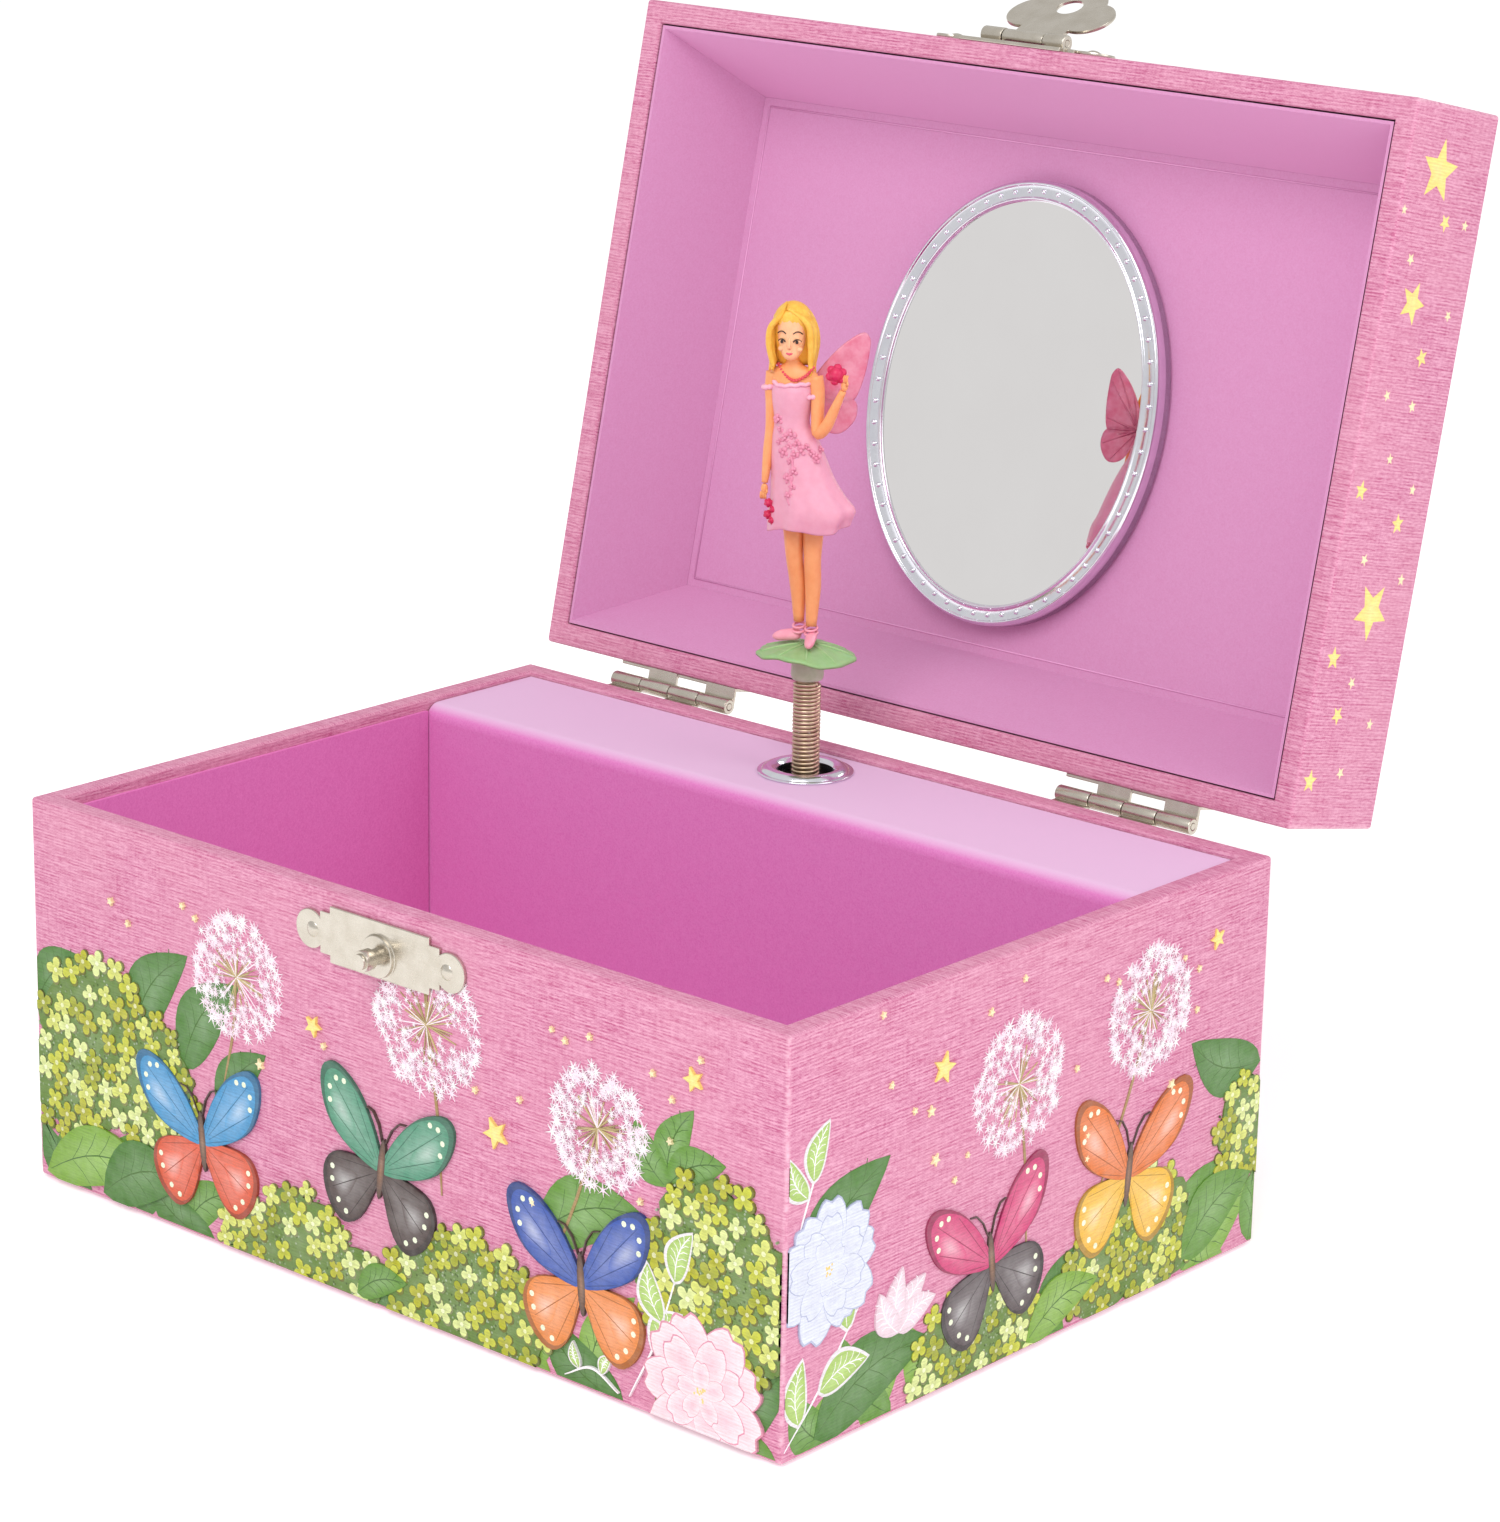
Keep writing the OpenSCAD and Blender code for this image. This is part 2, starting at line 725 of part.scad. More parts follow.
module hasp_plate() {
    color("silver") opened() difference() {
        union() {
            face_plate(front_y, hasp_z);
            hasp_loops();
        }
        rod_x(-loops_l, loops_l, hasp_y, hasp_z, pin_r, small_fn);
        block(-curl_l / 2 - part_gap, curl_l / 2 + part_gap, front_y - metal_t - cut, front_y + cut,
            hasp_z - curl_r - slot_gap, hasp_z + curl_r + slot_gap);
        for (side = [-1, 1])
            rod_y(front_y - metal_t - cut, front_y + cut, side * nail_x, hasp_z, nail_r, small_fn);
    }
}

module hasp_pin() {
    color("silver") opened() rod_x(-loops_l / 2, loops_l / 2, hasp_y, hasp_z, pin_r, small_fn);
}

module hasp_nails() {
    color("silver") opened() for (side = [-1, 1]) translate([side * nail_x, front_y, hasp_z]) nail();
}

// Hanging flap outline below the hasp axis
module flap_outline() {
    neck_w = 9;
    translate([-curl_l / 2, -2]) square([curl_l, 2]);
    translate([-neck_w / 2, -8]) square([neck_w, 6.4]);
    translate([0, -11.8]) circle(r = 5.9);
    for (side = [-1, 1]) translate([side * 5.4, -9]) circle(r = 4.3);
}

module hasp_flap() {
    color("silver") opened() translate([0, hasp_y, hasp_z]) rotate([-hasp_swing, 0, 0]) difference() {
        union() {
            rod_x(-curl_l / 2, curl_l / 2, 0, 0, curl_r);
            translate([0, -curl_r + metal_t, 0]) rotate([90, 0, 0])
                linear_extrude(height = metal_t) flap_outline();
        }
        rod_x(-loops_l, loops_l, 0, 0, pin_r + run_gap, small_fn);
        rod_y(-curl_r - cut, cut, 0, -hasp_reach, knob_r + knob_gap);
    }
}

// ---------- Figure ----------
module figure_spring() {
    half = wire_d / 2;
    groove = 0.2;
    profile = [
        for (i = [0 : coils - 1], k = [0 : 2])
            [spring_r - (k == 1 ? 0 : groove), (i + 0.2 + 0.3 * k) * coil_pitch]
    ];
    inner = spring_r - wire_d;
    color("goldenrod") translate([figure_x, axis_y, spring_low]) rotate_extrude()
        polygon(concat([[inner, 0]], [[spring_r - half, 0]], profile,
            [[spring_r - half, spring_high - spring_low]], [[inner, spring_high - spring_low]]));
}

module spring_ferrule() {
    color("silver") translate([figure_x, axis_y, 0]) {
        rod_z(ferrule_low, boss_z - part_gap, 0, 0, post_r);
        rod_z(boss_z - part_gap - 0.1, boss_z + ferrule_pin_l, 0, 0, ferrule_pin_r, small_fn);
    }
}

module lily_leaf() {
    color("mediumseagreen") difference() {
        translate([figure_x, axis_y, leaf_z]) rotate_extrude() polygon([
            [0, boss_z - leaf_z], [2.6, boss_z - leaf_z], [3.1, -2.2], [5, -1.3], [leaf_r - 0.4, -0.4],
            [leaf_r, -0.1], [leaf_r - 0.3, 0.2], [4, 1], [0, leaf_crown]
        ]);
        rod_z(boss_z - cut, boss_z + ferrule_pin_l + part_gap, figure_x, axis_y,
            ferrule_pin_r + run_gap, small_fn);
    }
}

// Straight tapering limb between two points, with rounded ends
module limb(a, b, ra, rb) {
    d = b - a;
    len = norm(d);
    translate(a) rotate([0, acos(d[2] / len), atan2(d[1], d[0])])
        rotate_extrude($fn = small_fn) intersection() {
            union() {
                circle(r = ra);
                translate([0, len]) circle(r = rb);
                polygon([[0, 0], [ra, 0], [rb, len], [0, len]]);
            }
            translate([0, -ra - cut]) square([ra + rb, len + ra + rb + 2 * cut]);
        }
}

module on_leaf() {
    translate([figure_x, axis_y, foot_z]) rotate([0, 0, figure_turn]) scale(doll_k) children();
}

module fairy_doll() {
    color("peachpuff") on_leaf() {
        for (side = [-1, 1]) limb([side * 1.7, 0, 1], [side * 1.6, 0, 19], 1.3, 1.7);
        for (side = [-1, 1]) limb([side * 2.2, -2.2, 0.5], [side * 1.7, 0, 1], 1, 1.3);
        translate([0, 0, 17]) rotate_extrude() polygon([
            [0, 0], [6, 0], [6.2, 1], [4.8, 8], [3.6, 13], [2.9, 17], [3.4, 21], [3.2, 23],
            [1.1, 24.5], [0, 24.5]
        ]);
        limb([0, 0, 40], [0, 0, 44], 1.3, 1.3);
        translate([0, 0, 47.4]) sphere(r = 3.4, $fn = 32);
        limb([0, 1.6, 49.6], [0, 2.6, 37], 3.4, 2.6);
        limb([-3.4, 0, 39.4], [-4.8, 0, 31], 1, 0.9);
        limb([-4.8, 0, 31], [-5.6, -1.4, 23], 0.9, 0.9);
        limb([3.4, 0, 39.4], [4.6, 0.2, 32], 1, 0.95);
        limb([4.6, 0.2, 32], [6, -3.2, 38.6], 0.95, 0.9);
        translate([5.6, -4, 40.6]) sphere(r = 1.7, $fn = small_fn);
    }
}

// One butterfly wing in the XZ plane, to the right of its root
module wing_outline() {
    polygon([
        [0, 0], [2.4, 4.4], [5.6, 8.2], [8, 9.6], [9, 8.4], [8.8, 5], [7.4, 1.4], [6.6, 0],
        [7.4, -2.4], [6.8, -5.6], [5, -6.6], [2.6, -5.4], [0.6, -2.6]
    ]);
}

module fairy_wings() {
    spread = 38;
    color("lightpink", 0.8) on_leaf() translate([0, 3.4, 37.6]) {
        rod_y(-1.4, 0.6, 0, 0, 0.9, small_fn);
        for (side = [-1, 1])
            mirror([side < 0 ? 1 : 0, 0, 0]) rotate([0, 0, spread])
                translate([0, 0.3, 0]) rotate([90, 0, 0]) linear_extrude(height = 0.5) wing_outline();
    }
}

// ---------- Figure drive ----------
module drive_spindle() {
    color("silver") translate([figure_x, axis_y, 0]) {
        rod_z(crown_pitch_z - add - 1.5, spring_low - 1.2, 0, 0, spindle_r);
        rod_z(spring_low - 1.8, spring_low - 0.1, 0, 0, spring_r);
        rod_z(spring_low - 0.2, spring_low + 2, 0, 0, post_r);
    }
}

module crown_wheel() {
    color("goldenrod") translate([figure_x, axis_y, crown_z]) difference() {
        union() {
            rod_z(0, crown_t, 0, 0, gear_r + tooth_l / 2);
            rod_z(crown_t - 0.1, crown_t + 2, 0, 0, 2.4);
            face_teeth(gear_teeth, 180);
        }
        rod_z(-cut, crown_t + 2 + cut, 0, 0, spindle_r);
    }
}

// ---------- Music movement ----------
// Ear that stands forward of the bedplate to carry a bearing
module bed_tab(x0, x1, z0, z1) {
    block(x0, x1, axis_y - bearing_h, bed_front + bed_t / 2, z0, z1);
}

module bedplate() {
    color("silver") difference() {
        union() {
            block(bed_x0, bed_x1, bed_front, bed_y, bed_z0, bed_z1);
            block(figure_x - tower_w / 2, figure_x + tower_w / 2, bed_front, bed_y, bed_z1 - cut, tower_z);
            for (z = spindle_tab_z)
                bed_tab(figure_x - bearing_h, figure_x + bearing_h, z, z + spindle_tab_t);
            bed_tab(bearing_x, bearing_x + bearing_t, governor_z - bearing_h, train_z + bearing_h);
            bed_tab(left_bearing_x, left_bearing_x + bearing_t, train_z - bearing_h, train_z + bearing_h);
            block(cylinder_x0, cylinder_x1, axis_y + comb_t / 2, bed_front + bed_t / 2,
                comb_z, comb_root_z - 0.5);
        }
        for (z = spindle_tab_z)
            rod_z(z - cut, z + spindle_tab_t + cut, figure_x, axis_y, spindle_r + run_gap);
        rod_x(left_bearing_x - cut, bearing_x + bearing_t + cut, axis_y, train_z, shaft_r + run_gap);
        rod_x(bearing_x - cut, bearing_x + bearing_t + cut, axis_y, governor_z, governor_shaft_r + run_gap);
        rod_y(bed_front - cut, bed_y + cut, barrel_x, train_z, arbor_r + run_gap);
        for (p = movement_screw_at) rod_y(bed_front - cut, bed_y + cut, p[0], p[1], screw_r, small_fn);
        for (side = [-1, 1])
            rod_y(axis_y, bed_front - 1, comb_x + side * comb_screw_x, comb_screw_z,
                comb_screw_r, small_fn);
    }
}

module comb() {
    color("lightsteelblue") difference() {
        block(cylinder_x0, cylinder_x1, axis_y - comb_t / 2, axis_y + comb_t / 2, comb_z, comb_tip_z);
        for (i = [1 : notes - 1])
            translate([cylinder_x0 + i * note_pitch, 0, 0])
                block(-comb_slot / 2, comb_slot / 2, axis_y - comb_t, axis_y + comb_t,
                    comb_root_z + i * comb_step, comb_tip_z + cut);
        for (side = [-1, 1])
            rod_y(axis_y - comb_t, axis_y + comb_t, comb_x + side * comb_screw_x, comb_screw_z,
                comb_screw_r, small_fn);
    }
}

module comb_screws() {
    face = axis_y - comb_t / 2;
    head_r = 2;
    head_t = 1.2;
    slot_d = 0.5;
    color("silver") for (side = [-1, 1])
        translate([comb_x + side * comb_screw_x, 0, comb_screw_z]) difference() {
            union() {
                rod_y(face - head_t / 2, axis_y + 5, 0, 0, comb_screw_r, small_fn);
                rod_y(face - head_t, face, 0, 0, head_r, small_fn);
            }
            block(-head_r - cut, head_r + cut, face - head_t - cut, face - head_t + slot_d, -0.3, 0.3);
        }
}

module mainspring_housing() {
    color("silver") difference() {
        union() {
            rod_y(housing_front, housing_back, barrel_x, train_z, housing_r);
            for (side = [0, 1]) translate([barrel_x, 0, train_z]) mirror([0, 0, side]) {
                block(-lug_w / 2, lug_w / 2, lug_y, lug_y + lug_t, housing_r - 1, lug_r + lug_t);
                block(-lug_w / 2, lug_w / 2, lug_y, bed_front, lug_r, lug_r + lug_t);
            }
        }
        rod_y(housing_front + housing_wall, housing_back + cut, barrel_x, train_z,
            housing_r - housing_wall);
        rod_y(housing_front - cut, housing_front + 2 * housing_wall, barrel_x, train_z, arbor_r + run_gap);
    }
}

// Flat coiled strip between the arbor and the housing wall
module mainspring() {
    turns = 7;
    steps = 28;
    strip = 0.35;
    r0 = arbor_r + 0.5;
    r1 = housing_r - housing_wall - strip / 2;
    spiral = function (off) [
        for (i = [0 : turns * steps])
            let (a = i * 360 / steps, r = r0 + (r1 - r0) * i / (turns * steps) + off)
                [r * cos(a), r * sin(a)]
    ];
    outer = spiral(strip / 2);
    color("slategray") translate([barrel_x, housing_back - 1.2, train_z]) rotate([90, 0, 0])
        linear_extrude(height = housing_back - housing_front - 2.4 - housing_wall)
            polygon(concat(spiral(-strip / 2), [for (i = [len(outer) - 1 : -1 : 0]) outer[i]]));
}

module governor_frame() {
    flange_t = 1.2;
    color("silver") difference() {
        union() {
            block(worm_wheel_x - 2.4, post_x + bearing_t, bed_front - flange_t, bed_front,
                worm_low_z, worm_tab_z + worm_tab_t);
            for (z = [worm_low_z, worm_tab_z])
                block(worm_wheel_x - 2, worm_wheel_x + 3, worm_y - 2, bed_front, z, z + worm_tab_t);
            block(post_x, post_x + bearing_t, axis_y - 2, bed_front,
                governor_z - bearing_h, governor_z + bearing_h);
        }
        rod_z(worm_low_z + worm_step_t, worm_tab_z + worm_tab_t + cut, worm_wheel_x, worm_y,
            worm_shaft_r + run_gap, small_fn);
        rod_x(post_x - cut, post_x + bearing_t + cut, axis_y, governor_z,
            governor_shaft_r + run_gap, small_fn);
    }
}

module movement_screws() {
    slot_d = 0.5;
    slot_w = 0.7;
    color("silver") for (p = movement_screw_at) translate([p[0], 0, p[1]]) difference() {
        union() {
            rod_y(bed_front, back_y + 0.1, 0, 0, screw_r, small_fn);
            rod_y(back_y, back_y + screw_head_t, 0, 0, screw_head_r);
        }
        block(-screw_head_r - cut, screw_head_r + cut, back_y + screw_head_t - slot_d,
            back_y + screw_head_t + cut, -slot_w / 2, slot_w / 2);
    }
}

module music_cylinder() {
    color("goldenrod") difference() {
        union() {
            rod_x(cylinder_x0 + 0.2, cylinder_x1, axis_y, train_z, cylinder_r);
            for (i = [0 : notes - 1], j = [0 : track_pins - 1])
                translate([cylinder_x0 + (i + 0.5) * note_pitch, axis_y, train_z])
                    rotate([(i * 137 + j * 360 / track_pins) % 360, 0, 0])
                        cylinder(h = cylinder_r + pin_h, r = cylinder_pin_r, $fn = 16);
        }
        rod_x(cylinder_x0 - cut, cylinder_x1 + cut, axis_y, train_z, cylinder_r - cylinder_wall);
    }
}

module cylinder_arbor() {
    end_t = 1.4;
    inner_r = cylinder_r - cylinder_wall;
    color("silver") {
        rod_x(pinion_x - gear_w / 2, bearing_x + bearing_t + 0.4, axis_y, train_z, shaft_r);
        rod_x(cylinder_x0 + 0.2, cylinder_x0 + 0.2 + end_t, axis_y, train_z, inner_r);
        rod_x(cylinder_x1 - end_t, cylinder_x1, axis_y, train_z, inner_r);
        spur_gear(pinion_teeth, pinion_x - gear_w / 2, pinion_x + gear_w / 2, axis_y, train_z, 0);
    }
}

module cylinder_gear() {
    color("goldenrod") difference() {
        spur_gear(gear_teeth, gear_x - gear_w / 2, gear_x + gear_w / 2, axis_y, train_z, 90);
        rod_x(gear_x - gear_w, gear_x + gear_w, axis_y, train_z, shaft_r);
    }
}

module great_wheel() {
    color("goldenrod") translate([barrel_x, great_y, train_z]) rotate([-90, 0, 0]) difference() {
        union() {
            rod_z(0, great_t, 0, 0, great_rim);
            face_teeth(great_teeth, 0);
        }
        rod_z(-cut, great_t + cut, 0, 0, arbor_r);
    }
}

module winding_arbor() {
    color("silver") rod_y(housing_front, key_y + 7.5, barrel_x, train_z, arbor_r);
}

module winding_key() {
    grip_y = key_y + key_sleeve_l;
    color("silver") translate([barrel_x, 0, train_z]) difference() {
        union() {
            rod_y(key_y, grip_y + 2, 0, 0, key_sleeve_r);
            translate([0, grip_y + 3, -key_t / 2]) linear_extrude(height = key_t) {
                for (side = [-1, 1]) translate([side * key_lobe_x, 1.2]) circle(r = key_lobe_r);
                square([8, 7], center = true);
            }
        }
        rod_y(key_y - cut, key_y + 7.5, 0, 0, arbor_r);
        for (side = [-1, 1])
            rod_z(-key_t, key_t, side * key_lobe_x, grip_y + 4.2, key_lobe_r - 2.8);
    }
}

module governor_wheel() {
    scale_k = worm_wheel_r / (worm_wheel_teeth * gear_m / 2 + add);
    x0 = gear_x - gear_w / 2;
    color("goldenrod") {
        rod_x(x0 - 0.4, post_x + bearing_t + 0.3, axis_y, governor_z, governor_shaft_r, small_fn);
        spur_gear(governor_teeth, x0, x0 + gear_w, axis_y, governor_z, 90 + 180 / governor_teeth);
        translate([worm_wheel_x - 1, axis_y, governor_z]) rotate([90, 0, 90]) linear_extrude(height = 2)
            scale(scale_k) polygon(gear_points(worm_wheel_teeth, 0));
    }
}

module governor_worm() {
    color("silver") translate([worm_wheel_x, worm_y, 0]) {
        rod_z(worm_low_z + worm_step_t + part_gap, fan_z + fan_h - 1, 0, 0, worm_shaft_r, small_fn);
        rod_z(worm_z0, worm_z1, 0, 0, worm_core_r, small_fn);
        for (z = [worm_z0 : worm_step : worm_z1 - 0.7]) rod_z(z, z + 0.7, 0, 0, worm_r, small_fn);
    }
}

module governor_fan() {
    color("white") translate([worm_wheel_x, worm_y, fan_z]) difference() {
        union() {
            rod_z(0, fan_h, 0, 0, 1.3, small_fn);
            for (a = [0, 90]) rotate([0, 0, a]) block(-fan_r, fan_r, -0.3, 0.3, 0.4, fan_h - 0.2);
        }
        rod_z(-cut, fan_h - 1, 0, 0, worm_shaft_r, small_fn);
    }
}

floor_board();
front_wall();
back_wall();
left_wall();
right_wall();
base_wrap();
underside_paper();
side_lining();
floor_lining();
cover_board();
cover_lining();
grommet();
catch_plate();
catch_knob();
catch_nails();
hinge_left_base_leaf();
hinge_right_base_leaf();
hinge_pins();
hinge_base_nails();
bedplate();
comb();
comb_screws();
mainspring_housing();
mainspring();
governor_frame();
movement_screws();
lid_top_board();
lid_front_wall();
lid_back_wall();
lid_left_wall();
lid_right_wall();
lid_wrap();
lid_side_lining();
lid_panel_lining();
mirror_frame();
mirror_glass();
mirror_pad();
hasp_plate();
hasp_pin();
hasp_nails();
hinge_left_lid_leaf();
hinge_right_lid_leaf();
hinge_lid_nails();
hasp_flap();
figure_spring();
spring_ferrule();
lily_leaf();
fairy_doll();
fairy_wings();
drive_spindle();
crown_wheel();
music_cylinder();
cylinder_arbor();
cylinder_gear();
great_wheel();
winding_arbor();
winding_key();
governor_wheel();
governor_worm();
governor_fan();
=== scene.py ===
import bmesh
import bpy
import json
import random
from math import cos, dist, exp, pi, radians, sin, sqrt, tau
from mathutils import Matrix, Vector


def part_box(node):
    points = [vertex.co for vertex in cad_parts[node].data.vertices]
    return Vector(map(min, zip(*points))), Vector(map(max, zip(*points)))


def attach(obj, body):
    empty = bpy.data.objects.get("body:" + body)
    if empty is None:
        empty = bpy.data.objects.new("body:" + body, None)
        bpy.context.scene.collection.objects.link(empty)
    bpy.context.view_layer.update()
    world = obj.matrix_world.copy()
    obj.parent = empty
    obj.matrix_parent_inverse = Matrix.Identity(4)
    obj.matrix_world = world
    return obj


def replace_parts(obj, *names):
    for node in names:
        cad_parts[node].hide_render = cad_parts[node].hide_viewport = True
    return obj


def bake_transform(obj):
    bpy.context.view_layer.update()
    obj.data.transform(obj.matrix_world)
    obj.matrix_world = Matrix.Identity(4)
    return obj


# Sizes below are millimetres in the shared frame, and MM turns them into metres
MM = 0.001

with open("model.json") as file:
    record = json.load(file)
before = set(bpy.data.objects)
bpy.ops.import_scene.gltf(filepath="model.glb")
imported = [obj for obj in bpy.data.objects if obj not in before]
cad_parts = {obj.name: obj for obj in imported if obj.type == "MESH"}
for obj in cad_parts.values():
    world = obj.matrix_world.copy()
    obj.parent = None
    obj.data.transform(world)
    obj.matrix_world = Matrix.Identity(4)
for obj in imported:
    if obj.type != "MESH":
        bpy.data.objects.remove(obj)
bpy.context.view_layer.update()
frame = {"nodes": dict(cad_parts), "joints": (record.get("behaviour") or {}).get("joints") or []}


def box_mm(node):
    low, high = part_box(node)
    return low / MM, high / MM


# The lid's pieces are modelled shut, then placed by the matrix that opens the lid
lid_joint = next(j for j in frame["joints"] if j["name"] == "lid_hinge")
hinge_point = Vector(lid_joint["pos_m"])
open_angle = radians(lid_joint["range_deg"][1])
OPEN = (
    Matrix.Translation(hinge_point)
    @ Matrix.Rotation(-open_angle, 4, "X")
    @ Matrix.Translation(-hinge_point)
)


def shut_box_mm(node):
    """Lowest and highest corner of a lid node with the lid shut, in millimetres."""
    inverse = OPEN.inverted()
    points = [inverse @ v.co / MM for v in frame["nodes"][node].data.vertices]
    low = Vector([min(p[i] for p in points) for i in range(3)])
    high = Vector([max(p[i] for p in points) for i in range(3)])
    return low, high


base_low, base_high = box_mm("base_wrap")
lid_low, lid_high = shut_box_mm("lid_wrap")
SIDE = base_high.x
BACK = base_high.y
RIM = base_high.z
PAPER = 0.3
WALL = SIDE - box_mm("side_lining")[1].x
TURN_IN = 6.0
HEM = 14.0

# ---------- Mesh helpers ----------


def circle(count, wide=1.0, tall=None):
    """Points (x, y) of a circle, or of an ellipse when tall is given."""
    tall = wide if tall is None else tall
    return [(wide * cos(tau * k / count), tall * sin(tau * k / count)) for k in range(count)]


def finish_mesh(bm, name, material, smooth=True):
    """Mesh in metres from one drawn in millimetres."""
    bmesh.ops.remove_doubles(bm, verts=bm.verts, dist=0.0005)
    bmesh.ops.recalc_face_normals(bm, faces=bm.faces)
    bmesh.ops.scale(bm, vec=(MM, MM, MM), verts=bm.verts)
    mesh = bpy.data.meshes.new(name)
    bm.to_mesh(mesh)
    bm.free()
    mesh.materials.append(material)
    for face in mesh.polygons:
        face.use_smooth = smooth
    return mesh


def place(name, mesh, body, shut=False):
    """Links a mesh as a piece of the object; shut pieces are drawn with the lid shut."""
    piece = bpy.data.objects.new(name, mesh)
    bpy.context.scene.collection.objects.link(piece)
    if shut:
        piece.matrix_world = OPEN
    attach(piece, body)
    return piece


def add_rings(bm, rings, loop=False):
    """Skins a list of equally long closed rings; the ends are capped, or joined when loop is true."""
    made = [[bm.verts.new(p) for p in ring] for ring in rings]
    count = len(made[0])
    pairs = list(zip(made, made[1:]))
    if loop:
        pairs.append((made[-1], made[0]))
    for low, high in pairs:
        for i in range(count):
            j = (i + 1) % count
            bm.faces.new((low[i], low[j], high[j], high[i]))
    if not loop:
        for ring in (made[0], made[-1]):
            centre = bm.verts.new(sum((v.co for v in ring), Vector()) / count)
            for i in range(count):
                bm.faces.new((ring[i], ring[(i + 1) % count], centre))
    return made


def across(direction):
    """Two unit vectors across a direction."""
    side = direction.orthogonal().normalized()
    return side, direction.cross(side).normalized()


def add_tube(bm, points, radius, sides=8, flat=1.0):
    """Tube along points; radius is a number or one number per point, flat squeezes one side."""
    points = [Vector(p) for p in points]
    radii = radius if isinstance(radius, (list, tuple)) else [radius] * len(points)
    side = None
    rings = []
    for i, point in enumerate(points):
        ahead = points[min(i + 1, len(points) - 1)] - points[max(i - 1, 0)]
        ahead.normalize()
        if side is None:
            side = across(ahead)[0]
        side = (side - ahead * side.dot(ahead)).normalized()
        other = ahead.cross(side)
        rings.append([
            point + side * x * radii[i] + other * y * radii[i] * flat
            for x, y in circle(sides)
        ])
    add_rings(bm, rings)


def add_ball(bm, centre, radius, squash=(1, 1, 1), rings=8, sides=12):
    """Ball of rings, squashed along x, y and z."""
    wide, deep, tall = (radius * share for share in squash)
    stack = []
    for i in range(1, rings):
        polar = pi * i / rings
        ring = circle(sides, wide * sin(polar), deep * sin(polar))
        stack.append([Vector(centre) + Vector((x, y, tall * cos(polar))) for x, y in ring])
    add_rings(bm, stack)


def between(a, b, c, d, t):
    """Smooth step from b to c, led by the knots a and d on either side."""
    return 0.5 * (
        2 * b + (c - a) * t + (2 * a - 5 * b + 4 * c - d) * t ** 2
        + (3 * b - a - 3 * c + d) * t ** 3
    )


def curve_points(knots, count):
    """Smooth curve through the knots, as count points."""
    knots = [Vector(k) for k in knots]
    padded = [knots[0] * 2 - knots[1], *knots, knots[-1] * 2 - knots[-2]]
    made = []
    for i in range(count):
        t = i / (count - 1) * (len(knots) - 1)
        k = min(int(t), len(knots) - 2)
        t -= k
        made.append(between(*padded[k:k + 4], t))
    return made


def flat_curve(knots, count):
    """Smooth curve through flat knots, as count pairs."""
    return [(p.x, p.y) for p in curve_points([(*knot, 0) for knot in knots], count)]


def lerp(values, t):
    """Value at t from 0 to 1 along an evenly spaced list of numbers."""
    x = t * (len(values) - 1)
    k = min(int(x), len(values) - 2)
    return values[k] + (values[k + 1] - values[k]) * (x - k)


# ---------- Material helpers ----------


def rgb(red, green, blue):
    """Linear colour from 0 to 255 screen values."""
    def linear(value):
        c = value / 255
        return c / 12.92 if c <= 0.04045 else ((c + 0.055) / 1.055) ** 2.4
    return linear(red), linear(green), linear(blue), 1.0


class Paint:
    """A material and short ways to add nodes to it."""

    def __init__(self, name, **sockets):
        self.material = bpy.data.materials.new(name)
        self.material.use_nodes = True
        self.nodes = self.material.node_tree.nodes
        self.links = self.material.node_tree.links
        self.shader = next(n for n in self.nodes if n.type == "BSDF_PRINCIPLED")
        for socket, value in sockets.items():
            self.shader.inputs[socket.replace("_", " ")].default_value = value

    def add(self, kind, inputs=(), out=0, **settings):
        node = self.nodes.new(kind)
        for key, value in settings.items():
            setattr(node, key, value)
        for key, value in dict(inputs).items():
            if isinstance(value, bpy.types.NodeSocket):
                self.links.new(value, node.inputs[key])
            else:
                node.inputs[key].default_value = value
        return node.outputs[out]

    def calc(self, operation, a, b=0.0):
        return self.add("ShaderNodeMath", {0: a, 1: b}, operation=operation)

    def plus(self, a, b):
        return self.calc("ADD", a, b)

    def times(self, a, b):
        return self.calc("MULTIPLY", a, b)

    def blend_of(self, *shares):
        """Sum of values, each times its own share."""
        total = self.times(*shares[0])
        for value, share in shares[1:]:
            total = self.plus(total, self.times(value, share))
        return total

    def mix(self, share, a, b, blend="MIX"):
        node = self.nodes.new("ShaderNodeMix")
        node.data_type = "RGBA"
        node.blend_type = blend
        for key, value in (("Factor", share), ("A", a), ("B", b)):
            socket = next(s for s in node.inputs if s.name == key and s.enabled)
            if isinstance(value, bpy.types.NodeSocket):
                self.links.new(value, socket)
            else:
                socket.default_value = value
        return next(s for s in node.outputs if s.enabled)

    def spot(self, kind="Object"):
        """Position in millimetres (or the normal), split into x, y and z."""
        where = self.add("ShaderNodeTexCoord", out=kind)
        scale = 1 if kind == "Normal" else 1 / MM
        scaled = self.add("ShaderNodeVectorMath", {0: where, 3: scale}, operation="SCALE")
        node = self.nodes.new("ShaderNodeSeparateXYZ")
        self.links.new(scaled, node.inputs[0])
        return list(node.outputs), scaled

    def noise(self, vector, scale, detail=3.0, roughness=0.55):
        return self.add("ShaderNodeTexNoise", {
            "Vector": vector, "Scale": scale, "Detail": detail, "Roughness": roughness})

    def ramp(self, value, low, high):
        """0 below low, 1 above high."""
        return self.add("ShaderNodeMapRange", {0: value, 1: low, 2: high}, clamp=True)

    def bump(self, height, depth_mm, strength=1.0):
        normal = self.add("ShaderNodeBump", {
            "Height": height, "Distance": depth_mm * MM, "Strength": strength})
        self.links.new(normal, self.shader.inputs["Normal"])

    def set(self, socket, value):
        self.links.new(value, self.shader.inputs[socket])


